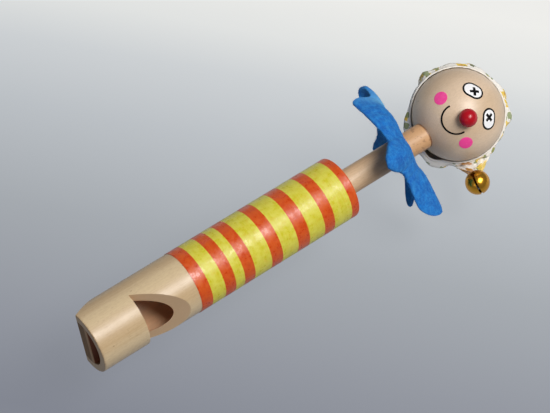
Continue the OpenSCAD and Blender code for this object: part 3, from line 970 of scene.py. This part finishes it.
@dataclass
class Plunger:
    """The rod with its piston and the felt ring that seals the bore."""

    groove_x: float = 64.5
    felt_w: float = 6.0
    felt_r: Pair = (7.2, 8.95)
    play: float = 0.05
    corner: float = 0.5
    lump: float = 0.04
    lump_size: float = 0.9
    steps: int = 120
    rod_wood: Finish = RodWood(
        "rod_wood", roughness=0.42, gloss=0.6, bump=0.4, pale=(222, 190, 154), deep=(196, 158, 118),
        fleck=(146, 110, 80), rings=700.0, flecks=0.6, mottle=0.12,
    )
    piston_wood: Finish = BareWood(
        "piston_wood", roughness=0.6, bump=0.5, pale=(190, 144, 100), deep=(152, 106, 68),
        fleck=(100, 62, 40), rings=500.0,
    )
    white_wool: Finish = WoolFelt(
        "white_felt", roughness=0.95, bump=0.8, colour=(224, 220, 206), deep=(196, 190, 174),
        light=(240, 238, 230),
    )

    def build(self) -> None:
        """Dress the rod and the piston and make the felt ring."""
        wear("plunger_rod", self.rod_wood)
        wear("piston", self.piston_wood)
        self.sealing_felt()

    def sealing_felt(self) -> None:
        """Make the felt ring with soft corners, in the CAD ring's place."""
        arc = np.radians(np.arange(0, 91, 15))
        x0, x1 = self.groove_x + self.play, self.groove_x + self.felt_w - self.play
        r0, r1 = self.felt_r
        c = self.corner
        corners = [
            ((x0 + c, r0 + c), 180), ((x0 + c, r1 - c), 90), ((x1 - c, r1 - c), 0), ((x1 - c, r0 + c), 270)
        ]
        profile = [
            (x + c * math.cos(math.radians(turn) + bend), r + c * math.sin(math.radians(turn) + bend))
            for (x, r), turn in corners for bend in arc[::-1]
        ]
        around = np.linspace(0, 2 * np.pi, self.steps, endpoint=False)
        points = np.array([
            np.stack([np.full(self.steps, x), -r * np.sin(around), r * np.cos(around)], 1) for x, r in profile
        ])
        middle = np.array([(x0 + x1) / 2, 0, 0])
        points += (self.lump * (wobble(points, self.lump_size) - 1.0))[..., None] * (points - middle) / r1
        faces = band_faces(len(profile), self.steps, True)
        points = points.reshape(-1, 3)
        ring = new_piece("sealing_felt", points, faces, self.white_wool, "piston_seal")
        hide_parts("piston_felt")


@dataclass
class FeltCollar:
    """The blue felt collar, cut in uneven lobes, with fibres that stand out of it."""

    x: float = 141.2
    rod_r: float = 5.0
    felt_t: float = 1.5
    outline: tuple[Quad, ...] = (
        (8, 11.8, -1, -8.2), (16, 12.4, -2, -7.8), (24, 14.6, -3, -10), (32, 16.8, -3.5, -13),
        (40, 17, -3.5, -14), (48, 14.3, -3, -11.8), (56, 11.4, -2, -9.4), (64, 10.4, -1.5, -8.2),
        (76, 10.4, -1, -8), (88, 11.8, 0, -8.6), (100, 14.8, 3.2, -11.8), (108, 18.2, 4.8, -13),
        (112, 20.7, 5, -11.2), (116, 22.6, 5, -8), (120, 23.6, 4.4, -3.4), (124, 19.5, 4, -1.2),
        (128, 17.5, 3.4, -0.6), (136, 12, 2, 0), (141, 9, 1, 0), (144, 12, 2, -2.5), (147, 16.5, 2, -5),
        (151, 18.4, 2, -5.6), (154, 17.6, 2, -5.4), (157, 14, 1.5, -3.6), (160, 7, 0.5, 0), (166, 5.5, 0, 0),
        (188, 5.5, 0, 0), (204, 8, 0, 0), (216, 13, 0, 0), (228, 15, 0, 0), (240, 11, 0, 0),
        (250, 8.5, 0, 0), (264, 7.2, 0, 0), (280, 8, 0, 0), (288, 14, 1, -1.6), (292, 19, 2.5, -3.5),
        (296, 21.5, 4, -5), (300, 22.4, 4.2, -4.8), (304, 22.4, 4.5, -4.5), (308, 21.6, 4.7, -4.1),
        (311, 18.6, 4.6, -4.2), (314, 17.6, 4.5, -6.6), (317, 20, 4.4, -11), (320, 20.6, 4.3, -14.5),
        (326, 19, 4, -14.4), (332, 17.5, 3.6, -13.8), (344, 15.4, 2.2, -12.2), (356, 13.2, 0.2, -9.6),
    )
    curl_power: int = 4
    corner_turn: float = 1.6
    glue: float = 0.03
    cut_wobble: float = 0.28
    cut_waves: tuple[Triple, ...] = ((23, 0, 0.35), (41, 60, 0.3))
    edge_round: float = 0.35 / 20
    lump: float = 0.16
    lump_layers: tuple[Triple, ...] = ((2.6, 0.0, 0.55), (0.9, 7.0, 0.45))
    steps: int = 480
    rings: int = 40
    ring_power: float = 0.7
    fibres: int = 2200
    fibre_seed: int = 12
    fibre_lean: float = 0.9
    fibre_sway: float = 0.35
    fibre_sunk: float = 0.1
    edge_fibres: float = 0.45
    fibre_length: Pair = (0.35, 0.95)
    fibre_r: tuple[float, ...] = (0.026, 0.024, 0.02, 0.012)
    flat: Pair = (0.059, 0.056)
    lit_strip_turn: float = 313.0
    lit_strip_width: float = 8.0
    lit_strip_from: Pair = (0.12, 0.25)
    lit_strip_to: Pair = (1.1, 0.4)
    wool: Finish = WoolFelt("blue_felt", roughness=0.95, bump=0.9)
    fluff: Finish = WoolFelt(
        "blue_fluff", roughness=0.95, bump=0.1, colour=(46, 136, 212), deep=(26, 106, 188)
    )

    def drawn(self, turn: np.ndarray, column: int) -> np.ndarray:
        """Return a column of the outline in directions in degrees, with its corners rounded a little."""
        return smoothed(np.array(self.outline), column, turn, np.array((-1, 0, 0, 1)) * self.corner_turn)

    def surface(self, turn: np.ndarray, share: np.ndarray, side: float) -> np.ndarray:
        """Return points of the felt.

        Args:
            turn: Direction round the rod, in degrees.
            share: Share of the way out to the cut edge.
            side: From -1 on the side of the barrel to 1 on the side of the head.

        Returns:
            Points in millimetres.
        """
        waves = (np.sin(np.radians(turn * count + shift)) * size for count, shift, size in self.cut_waves)
        rough_cut = self.cut_wobble * sum(waves)
        width, lean, curl = (self.drawn(turn, column) for column in (1, 2, 3))
        width = width + rough_cut - self.glue
        slope = (lean + self.curl_power * curl * share ** (self.curl_power - 1)) / width
        half = side * self.felt_t / 2 / np.sqrt(1 + slope * slope)
        along = self.x + lean * share + curl * share**self.curl_power + half
        reach = self.rod_r + self.glue + share * width - half * slope
        a = np.radians(turn)
        return np.stack([along, -reach * np.sin(a), reach * np.cos(a)], -1)

    def build(self) -> None:
        turn = np.arange(self.steps) * 360 / self.steps
        shares = np.linspace(0, 1, self.rings) ** self.ring_power
        edge = self.edge_round
        profile = [(s * (1 - edge), -1.0) for s in shares]
        profile += [(1 - edge + edge * math.cos(t), math.sin(t)) for t in np.radians((-60, -30, 0, 30, 60))]
        profile += [(s * (1 - edge), 1.0) for s in shares[::-1]]
        points = np.array([self.surface(turn, np.full(self.steps, s), side) for s, side in profile])
        free = np.array([min(1.0, s * 3) for s, _ in profile])[:, None]
        sides = np.array([side for _, side in profile])[:, None]
        points[..., 0] += self.lump * lumps(points, self.lump_layers) * free * np.sign(sides)
        faces = band_faces(len(profile), self.steps, True)
        collar = new_piece("felt_collar", points.reshape(-1, 3), faces, self.wool, "plunger")
        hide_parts("collar")
        self.mark_lit_strip(collar, turn, np.array([s for s, _ in profile]))
        fluff = self.fluff_piece()

    def mark_lit_strip(self, collar: bpy.types.Object, turn: np.ndarray, shares: np.ndarray) -> None:
        """Write how much painted light makes the felt paler, along a fold that runs out to the edge.

        Args:
            collar: The collar's object.
            turn: The direction of each column of its points, in degrees.
            shares: Share of the way out of each of its rings.
        """
        # The painted highlight lies along one direction round the rod and part of the way out.
        along = np.exp(-(((turn - self.lit_strip_turn) / self.lit_strip_width) ** 2))
        (start, rise), (end, fall) = self.lit_strip_from, self.lit_strip_to
        out = np.clip((shares - start) / rise, 0, 1) * np.clip((end - shares) / fall, 0, 1)
        rubbed = np.outer(out, along).astype(np.float32)
        collar.data.attributes.new("rubbed", "FLOAT", "POINT").data.foreach_set("value", rubbed.ravel())

    def fluff_piece(self) -> bpy.types.Object:
        """Make the fibres that stand out of the felt, most of them at its cut edge."""
        rng = np.random.default_rng(self.fibre_seed)
        parts = []
        for _ in range(self.fibres):
            turn = np.array([rng.uniform(0, 360)])
            at_edge = rng.random() < self.edge_fibres
            share = np.array([rng.uniform(0.985, 1.0) if at_edge else math.sqrt(rng.uniform(0.05, 1.0))])
            side = rng.uniform(-1, 1) if at_edge else rng.choice([-1.0, 1.0])
            foot = self.surface(turn, share, side)[0]
            inner = self.surface(turn, share * 0.9, side)[0]
            outwards = unit(foot - inner)
            facing = np.array([side, 0.0, 0.0])
            lead = outwards if at_edge else unit(facing + 0.2 * outwards)
            lean = unit(rng.normal(size=3))
            length = rng.uniform(*self.fibre_length)
            steps = np.linspace(0, 1, len(self.fibre_r))[:, None]
            sway = unit(rng.normal(size=3)) * self.fibre_sway
            bend = steps * unit(lead + self.fibre_lean * lean) + steps**2 * sway
            path = foot - self.fibre_sunk * lead + length * bend
            parts.append(tube(path, np.array(self.fibre_r), 3))
        points, faces = joined(parts)
        return new_piece("felt_fluff", points, faces, self.fluff, "plunger")


@dataclass
class Head:
    """The wooden ball with its nose and its printed face."""

    ball: Finish = BareWood(
        "ball_wood", roughness=0.42, gloss=0.85, bump=0.25, pale=(230, 204, 176), deep=(212, 184, 152),
        fleck=(172, 144, 116), rings=260.0, wander=2.0, flecks=0.35, mottle=0.14,
    )
    nose: Finish = PrintedInk(
        "red_lacquer", roughness=0.24, gloss=0.4, bump=0.1, colour=(176, 4, 26), worn=(186, 10, 32)
    )
    pink: Finish = PrintedInk(
        "pink_ink", roughness=0.55, gloss=0.2, bump=0.2, colour=(255, 76, 160), worn=(255, 104, 176)
    )
    white: Finish = PrintedInk(
        "white_ink", roughness=0.5, bump=0.2, colour=(250, 250, 252), worn=(238, 240, 244)
    )
    black: Finish = PrintedInk(
        "black_ink", roughness=0.5, gloss=0.12, bump=0.2, colour=(10, 8, 10), worn=(20, 17, 19)
    )

    def build(self) -> None:
        """Dress the head's CAD nodes."""
        wear("head_ball", self.ball)
        wear("nose_bead", self.nose)
        wear("cheek_dots", self.pink)
        wear("eye_whites", self.white)
        wear("eye_ink", self.black)
        wear("smile_line", self.black)


@dataclass
class Hood:
    """The cotton hood: a cap on the back of the ball that is gathered to a tip where the bell is tied."""

    ball_at: Triple = (169.6, 0.0, 0.0)
    ball_r: float = 17.5
    look: Triple = (-0.35, -0.54, 0.765)
    drape: tuple[Quad, ...] = (
        (0, 0.55, 1.9, 93), (20, 0.55, 1.8, 93), (40, 0.6, 1.9, 94), (50, 0.6, 2.2, 94),
        (58, 0.8, 3.2, 95), (63, 1.5, 4.0, 96), (69, 2.3, 4.5, 97), (74, 1.9, 4.6, 97),
        (80, 1.1, 4.2, 96), (90, 0.7, 3.4, 95), (100, 0.6, 4.0, 94), (106, 0.55, 2.9, 94),
        (112, 0.5, 1.5, 93), (120, 0.5, 1.1, 92), (140, 0.5, 1.2, 91), (149, 0.5, 1.6, 90),
        (154, 0.6, 3.6, 90), (159, 0.6, 3.2, 90), (165, 0.5, 2.0, 89), (180, 0.5, 1.9, 88),
        (195, 0.5, 2.3, 88), (208, 0.5, 2.2, 88), (215, 0.5, 1.7, 88), (224, 0.5, 2.6, 89),
        (234, 0.5, 1.9, 89), (240, 0.5, 2.3, 90), (246, 0.5, 1.4, 90), (254, 0.5, 1.9, 91),
        (261, 0.5, 2.5, 91), (267, 0.5, 1.5, 91), (275, 0.5, 1.9, 91), (280, 0.6, 4.0, 91),
        (285, 0.5, 1.9, 91), (294, 0.5, 1.1, 91), (310, 0.5, 1.0, 91), (326, 0.5, 1.7, 92),
        (345, 0.5, 2.0, 92),
    )
    billow_angle: float = 11.0
    crease: float = 0.5
    crease_at: float = 0.13
    crease_width: float = 0.08
    rest_ease: float = 1.7
    rest_from: float = 0.8
    corner_turn: float = 2.5
    gathers: tuple[Quad, ...] = ((0.42, 7, 0, 1), (0.3, 11, 1.7, -1), (0.2, 17, 0.4, 2), (0.12, 29, 2.1, 0))
    gather_sway: float = 1.4
    gather_base: float = 0.35
    gather_height: float = 0.8
    pleats: tuple[Triple, ...] = ((0.45, 8, 0), (0.25, 13, 1.0))
    crumples: tuple[Triple, ...] = ((5.0, 3.0, 0.5), (2.2, 9.0, 0.2))
    crumple_in: float = -0.35
    seam: float = 90.0
    root: Triple = (0.10, -0.28, -0.955)
    root_angle: float = 28.0
    tip_at: Triple = (165.436, -16.781, -15.675)
    tip_dir: Triple = (-0.42, -0.86, 0.17)
    tip_r: float = 2.8
    tip_power: float = 1.3
    tip_inside: float = 0.97
    cloth_t: float = 0.32
    hem_r: float = 0.36
    hem_waves: tuple[Triple, ...] = ((0.05, 23, 0), (0.03, 37, 1))
    hem_ahead: float = 0.1
    steps: int = 320
    cap_rows: int = 50
    cap_power: float = 1.15
    tip_rows: int = 28
    free_rows: int = 12
    flat: Pair = (0.066, 0.066)
    cotton: Finish = PrintedCotton("hood_cotton", roughness=0.85, bump=0.5)

    def __post_init__(self) -> None:
        """Work out the directions that the cloth is built on."""
        self.head = np.array(self.ball_at)
        self.face = unit(self.look)
        self.down = unit(self.root)
        self.u = unit(self.face - (self.face @ self.down) * self.down)
        self.v = np.cross(self.down, self.u)
        self.end = unit(self.tip_dir)
        self.end_u = unit(np.cross(self.down, self.end))
        self.end_v = np.cross(self.end, self.end_u)
        self.end_turn = math.atan2(self.end_u @ self.v, self.end_u @ self.u)

    def draped(self, turn: np.ndarray, column: int) -> np.ndarray:
        """Return a column of the drape: the hem's stand-off, the loose cloth's, or the rim's angle."""
        spread = np.array((-1, 0, 1)) * self.corner_turn
        return smoothed(np.array(self.drape), column, np.degrees(turn), spread)

    def rim_from_root(self, turn: np.ndarray) -> np.ndarray:
        """Return the angle from the tip's root to the rim, in a direction round the root."""
        p, q = self.face @ self.down, (self.face @ self.u) * np.cos(turn)
        lean = np.degrees(np.arctan2(q, p)) % 360
        return lean - np.degrees(np.arccos(np.cos(np.radians(self.draped(turn, 3))) / np.hypot(p, q)))

    def folds(self, turn: np.ndarray, g: float) -> np.ndarray:
        """Return the height of the gathers on the cap, in millimetres.

        Args:
            turn: Direction round the root.
            g: Share of the way from the rim to the root.

        Returns:
            The height for each direction.
        """
        grow = min(1.0, 4 * g) ** 1.2
        sway = self.gather_sway * g
        high = sum(
            size * np.sin(count * turn + shift + way * sway) for size, count, shift, way in self.gathers
        )
        return grow * (self.gather_base + high * self.gather_height)

    def cap(self, turn: np.ndarray, g: float, depth: float) -> np.ndarray:
        """Return a ring of points of the cap.

        Args:
            turn: Directions round the root.
            g: Share of the way from the rim to the root.
            depth: Depth under the cloth's outer face.

        Returns:
            Points in millimetres.
        """
        rim = self.rim_from_root(turn)
        angle = np.radians(rim + (self.root_angle - rim) * g)
        spread = np.clip((rim - self.root_angle) * g / self.billow_angle, 0, 1)
        snug, loose = self.draped(turn, 1) + self.hem_r, self.draped(turn, 2)
        fold = self.crease * np.exp(-((spread - self.crease_at) / self.crease_width) ** 2)
        ease = snug + (loose - snug) * (1 - (1 - spread) ** 2) - fold
        rest = min(1.0, g / self.rest_from) ** 2
        out = self.ball_r + ease * (1 - rest) + self.rest_ease * rest + self.folds(turn, g) - depth
        ray = np.outer(np.cos(turn), self.u) + np.outer(np.sin(turn), self.v)
        return self.head + out[:, None] * (np.cos(angle)[:, None] * self.down + np.sin(angle)[:, None] * ray)

    def tip(self, turn: np.ndarray, s: float, depth: float) -> np.ndarray:
        """Return a ring of points of the gathered tip, with s from 0 at its root to 1 at its end."""
        reach = (self.ball_r + self.rest_ease) * math.cos(math.radians(self.root_angle))
        root_at = self.head + reach * self.down
        root = self.cap(turn, 1.0, depth) - root_at
        pleat = s * sum(size * (1 - np.cos(count * turn + shift)) for size, count, shift in self.pleats) / 2
        at = turn - self.end_turn
        ring = np.outer(np.cos(at), self.end_u) + np.outer(np.sin(at), self.end_v)
        end = (self.tip_r - pleat - depth)[:, None] * ring
        gather = s ** self.tip_power
        return (1 - s) * root_at + s * np.array(self.tip_at) + (1 - gather) * root + gather * end

    def face_rows(self, turn: np.ndarray, depth: float, end: float) -> np.ndarray:
        """Return the rings of one face of the cloth.

        Args:
            turn: Directions round the root.
            depth: Depth of the face under the cloth's outer face.
            end: How far down the tip it goes.

        Returns:
            Rings of points, from the rim to the tip.
        """
        rows = [self.cap(turn, g, depth) for g in np.linspace(0, 1, self.cap_rows) ** self.cap_power]
        rows += [self.tip(turn, s, depth) for s in np.linspace(0, end, self.tip_rows)[1:]]
        return np.array(rows)

    def build(self) -> None:
        turn = np.linspace(0, 2 * np.pi, self.steps, endpoint=False)
        outer = self.face_rows(turn, 0.0, 1.0)
        inner = self.face_rows(turn, self.cloth_t, self.tip_inside)
        crumple = np.maximum(lumps(outer, self.crumples), self.crumple_in)
        share = np.clip(np.arange(len(outer)) / self.free_rows, 0, 1)[:, None]
        away = outer - self.head
        away /= np.linalg.norm(away, axis=2)[..., None]
        moved = (crumple * share)[..., None] * away
        outer, inner = outer + moved, inner + moved
        count = self.steps
        loops = np.concatenate([outer[::-1], self.hem_rows(turn), inner])
        faces: list = band_faces(len(loops), count, False)
        middles = [np.array(self.tip_at) + 0.3 * self.end, np.array(self.tip_at) - 0.4 * self.end]
        points = np.concatenate([loops.reshape(-1, 3), middles])
        last = (len(loops) - 1) * count
        faces += [((k + 1) % count, k, len(points) - 2) for k in range(count)]
        faces += [(last + k, last + (k + 1) % count, len(points) - 1) for k in range(count)]
        hood = new_piece("cotton_hood", points, faces, self.cotton, "plunger")
        self.mark_cloth(hood, len(loops), len(outer), count)
        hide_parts("hood")

    def hem_rows(self, turn: np.ndarray) -> np.ndarray:
        """Return the rings of the rolled hem, from the outside round to the inside."""
        rim = np.radians(self.rim_from_root(turn))
        ray = np.outer(np.cos(turn), self.u) + np.outer(np.sin(turn), self.v)
        out = np.cos(rim)[:, None] * self.down + np.sin(rim)[:, None] * ray
        ahead = -np.sin(rim)[:, None] * self.down + np.cos(rim)[:, None] * ray
        r = sum((size * np.sin(count * turn + shift) for size, count, shift in self.hem_waves), self.hem_r)
        middle = self.head + (self.ball_r + self.draped(turn, 1))[:, None] * out + self.hem_ahead * ahead
        angles = np.radians((65, 35, 5, -25, -60))
        return np.array([middle + r[:, None] * (math.sin(a) * out + math.cos(a) * ahead) for a in angles])

    def mark_cloth(self, hood: bpy.types.Object, rows: int, printed: int, count: int) -> None:
        """Write where each point lies on the flat cotton, for the print, and which points are hem or back.

        Args:
            hood: The hood's object.
            rows: Number of its rings.
            printed: Number of them on the printed side.
            count: Points in each ring.
        """
        points = np.array([v.co for v in hood.data.vertices]) / MM
        ring = points[: rows * count].reshape(rows, count, 3)
        gap = np.linalg.norm(np.diff(ring, axis=0), axis=2)
        walked = np.concatenate([np.zeros((1, count)), np.cumsum(gap, axis=0)])
        step = np.linalg.norm(ring - np.roll(ring, 1, axis=1), axis=2)
        ring_r = step.sum(axis=1)[:, None] / (2 * np.pi)
        seam = math.radians(self.seam)
        turn = (np.linspace(0, 2 * np.pi, count, endpoint=False) - seam) % (2 * np.pi) + seam - 2 * np.pi
        flat = np.stack([walked, turn * ring_r, np.zeros_like(walked)], -1).reshape(-1, 3) * MM
        flat = np.concatenate([flat, np.zeros((len(points) - len(flat), 3))])
        cloth = hood.data.attributes.new("cloth", "FLOAT_VECTOR", "POINT")
        cloth.data.foreach_set("vector", flat.astype(np.float32).ravel())
        plain = np.zeros(len(points), np.float32)
        plain[(printed - 1) * count :] = 1.0
        hood.data.attributes.new("plain", "FLOAT", "POINT").data.foreach_set("value", plain)


@dataclass
class Bell:
    """The brass jingle bell with its loop, its thread and its pellet."""

    at: Triple = (161.3679, -22.1587, -12.6279)
    pole: Triple = (-0.55, -0.727, 0.412)
    thread_at: float = 6.90
    thread_r: float = 1.15
    strand_r: float = 0.13
    wind_r: float = 0.117
    strands: int = 4
    twists: int = 5
    steps: int = 96
    sides: int = 6
    brass: Finish = Metal(
        "polished_brass", roughness=0.25, bump=0.2, colour=(214, 154, 44), dull=(172, 118, 36), lacquer=0.2
    )
    wire: Finish = Metal("brass_wire", roughness=0.24, bump=0.2, colour=(222, 176, 84), dull=(180, 132, 60))
    steel: Finish = Metal(
        "steel_pellet", roughness=0.34, bump=0.2, colour=(176, 176, 178), dull=(120, 116, 112)
    )
    thread: Finish = PlainThread("sewing_thread", roughness=0.9, bump=0.5)

    def build(self) -> None:
        """Dress the bell's CAD nodes and make the twisted thread."""
        wear("bell_upper_shell", self.brass)
        wear("bell_lower_shell", self.brass)
        wear("bell_loop", self.wire)
        wear("bell_pellet", self.steel)
        self.twisted_thread()

    def twisted_thread(self) -> None:
        """Make the thread's ring from strands that wind round each other, in the CAD ring's place."""
        pole = unit(self.pole)
        side = unit(np.cross([0, 0, 1], pole))
        third = np.cross(pole, side)
        centre = np.array(self.at) - self.thread_at * pole
        turn = np.linspace(0, 2 * np.pi, self.steps, endpoint=False)
        a = np.linspace(0, 2 * np.pi, self.sides, endpoint=False)[None, :, None]
        faces = band_faces(self.steps, self.sides, True)
        parts = []
        for strand in range(self.strands):
            phase = self.twists * turn + strand * 2 * np.pi / self.strands
            out = self.thread_r + self.wind_r * np.cos(phase)
            lift = self.wind_r * np.sin(phase)
            outwards = np.outer(np.cos(turn), pole) + np.outer(np.sin(turn), third)
            ring = out[:, None] * outwards + np.outer(lift, side)
            ahead = np.roll(ring, -1, 0) - np.roll(ring, 1, 0)
            ahead /= np.linalg.norm(ahead, axis=1)[:, None]
            across = np.cross(ahead, side)
            across /= np.linalg.norm(across, axis=1)[:, None]
            up = np.cross(ahead, across)
            section = self.strand_r * (np.cos(a) * across[:, None] + np.sin(a) * up[:, None])
            parts.append(((centre + ring[:, None] + section).reshape(-1, 3), faces))
        points, faces = joined(parts)
        made = new_piece("tied_thread", points, faces, self.thread, "plunger")
        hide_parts("bell_thread")


@dataclass(frozen=True)
class SoftLight:
    """A soft light: the way to it, its distance and size in metres, and its power in watts."""

    name: str
    way: Triple
    distance: float
    size: tuple[float, float]
    power: float
    colour: Triple


@dataclass
class Studio:
    """The pale floor, the soft lights and the camera."""

    lights: tuple[SoftLight, ...] = (
        SoftLight("key_softbox", (0.19, -0.49, 0.85), 0.75, (0.42, 0.3), 5.3, (1.0, 0.98, 0.95)),
        SoftLight("back_fill", (0.3, 0.8, 0.5), 0.9, (0.7, 0.3), 0.3, (0.95, 0.97, 1.0)),
        SoftLight("low_fill", (-0.76, -0.52, 0.4), 0.8, (0.5, 0.3), 0.3, (1.0, 0.98, 0.95)),
    )
    world_light: float = 0.13
    world_seen: float = 0.2
    air: Triple = (226, 230, 236)
    floor_z: float = -34.0
    floor_reach: float = 4.0
    floor_glow: float = 0.85
    floor_slant: float = 0.24
    floor_scale: float = 4.0
    floor_shift: float = 0.06
    # Painted light falloff over the floor, grey near the camera and paler away.
    floor_tones: tuple[tuple[float, Triple], ...] = (
        (0.02, (134, 138, 149)), (0.18, (150, 154, 163)), (0.38, (168, 173, 179)), (0.58, (191, 196, 201)),
        (0.72, (209, 213, 216)), (0.82, (229, 231, 230)), (0.94, (241, 241, 238)),
    )
    camera_at: Triple = (-205.34, -395.07, 647.5)
    right: Triple = (0.79714, -0.60365, -0.01327)
    up: Triple = (0.4849, 0.62693, 0.60978)
    back: Triple = (-0.35977, -0.49252, 0.79246)
    focal_px: float = 2235.3
    aim: Triple = (90.0, 0.0, 0.0)
    sensor: float = 36.0
    clip: Pair = (0.05, 20.0)

    def build(self) -> None:
        """Set the whole stage."""
        bpy.context.scene.view_settings.view_transform = "Standard"
        self.place_camera()
        self.lay_floor()
        self.hang_lights()
        self.fill_world()

    def place_camera(self) -> None:
        """Make the camera that stands where the photo's camera stood."""
        data = bpy.data.cameras.new("photo_camera")
        data.sensor_width = self.sensor
        data.lens = self.focal_px * self.sensor / PHOTO_W
        data.clip_start, data.clip_end = self.clip
        camera = bpy.data.objects.new("photo_camera", data)
        bpy.context.scene.collection.objects.link(camera)
        turn = Matrix((self.right, self.up, self.back)).transposed().to_4x4()
        camera.matrix_world = Matrix.Translation(Vector(self.camera_at) * MM) @ turn
        bpy.context.scene.camera = camera

    def lay_floor(self) -> None:
        """Make the floor, grey at the camera's side and paler away from it, a painted fall of light, which
        glows to the camera and in reflections and so shows only a faint shadow.
        """
        mesh = bpy.data.meshes.new("floor")
        r, z = self.floor_reach, self.floor_z * MM
        mesh.from_pydata([(-r, -r, z), (r, -r, z), (r, r, z), (-r, r, z)], [], [(0, 1, 2, 3)])
        floor = bpy.data.objects.new("floor", mesh)
        bpy.context.scene.collection.objects.link(floor)
        material = bpy.data.materials.new("pale_floor")
        material.use_nodes = True
        material.node_tree.nodes.clear()
        n = Nodes(material.node_tree)
        place = n.add("ShaderNodeTexCoord").outputs["Object"]
        away = unit((self.up[0], self.up[1], 0.0))
        aside = unit((self.right[0], self.right[1], 0.0))
        depth = n.vector("DOT_PRODUCT", place, tuple(away)).outputs["Value"]
        across = n.vector("DOT_PRODUCT", place, tuple(aside)).outputs["Value"]
        slant = n.calc("MULTIPLY_ADD", across, self.floor_slant, depth)
        slant = n.calc("MULTIPLY_ADD", slant, self.floor_scale, self.floor_shift)
        ramp = n.add("ShaderNodeValToRGB", {0: slant})
        while len(ramp.color_ramp.elements) < len(self.floor_tones):
            ramp.color_ramp.elements.new(0.5)
        for element, (position, colour) in zip(ramp.color_ramp.elements, self.floor_tones):
            element.position, element.color = position, tint(*colour)
        matt = n.add("ShaderNodeBsdfDiffuse", {"Color": ramp.outputs[0]})
        # Painted light: the floor glows with its ramp for camera and glossy rays.
        glow = n.add("ShaderNodeEmission", {"Color": ramp.outputs[0]})
        shown = n.times(self.seen(n), self.floor_glow)
        both = n.add("ShaderNodeMixShader", {0: shown, 1: matt.outputs[0], 2: glow.outputs[0]})
        n.add("ShaderNodeOutputMaterial", {0: both.outputs[0]})
        mesh.materials.append(material)

    def hang_lights(self) -> None:
        """Hang the soft lights."""
        for soft in self.lights:
            data = bpy.data.lights.new(soft.name, "AREA")
            data.shape = "RECTANGLE"
            data.size, data.size_y = soft.size
            data.energy, data.color = soft.power, soft.colour
            light = bpy.data.objects.new(soft.name, data)
            bpy.context.scene.collection.objects.link(light)
            towards = Vector(unit(soft.way))
            light.location = Vector(self.aim) * MM + towards * soft.distance
            light.rotation_mode = "QUATERNION"
            light.rotation_quaternion = towards.to_track_quat("Z", "Y")
            log.info("%s: %.1f W", soft.name, soft.power)

    def seen(self, n: Nodes) -> Socket:
        """Return 1 for what the camera and reflections see, and 0 for the light on things."""
        rays = n.add("ShaderNodeLightPath")
        return n.calc("MAXIMUM", rays.outputs["Is Camera Ray"], rays.outputs["Is Glossy Ray"])

    def fill_world(self) -> None:
        """Give the world a dim even light that shows pale in the metal."""
        world = bpy.data.worlds.new("studio_air")
        bpy.context.scene.world = world
        world.use_nodes = True
        world.node_tree.nodes.clear()
        n = Nodes(world.node_tree)
        strength = n.calc("MULTIPLY_ADD", self.seen(n), self.world_seen, self.world_light)
        air = n.add("ShaderNodeBackground", {0: tint(*self.air), 1: strength})
        n.add("ShaderNodeOutputWorld", {0: air.outputs[0]})


def clear_strangers() -> None:
    """Remove what a factory start leaves in the file beside the frame."""
    kept = set(frame["nodes"].values()) | set(frame["bodies"].values())
    for thing in [o for o in bpy.data.objects if o not in kept]:
        bpy.data.objects.remove(thing)


def main() -> None:
    """Build the whistle's looks around the frame."""
    logging.basicConfig(level=logging.INFO, format="%(name)s: %(message)s")
    clear_strangers()
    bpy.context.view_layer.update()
    Studio().build()
    for sub_assembly in (Barrel(), Plunger(), FeltCollar(), Head(), Hood(), Bell()):
        log.info("building %s", type(sub_assembly).__name__)
        sub_assembly.build()


if __name__ == "__main__":
    main()
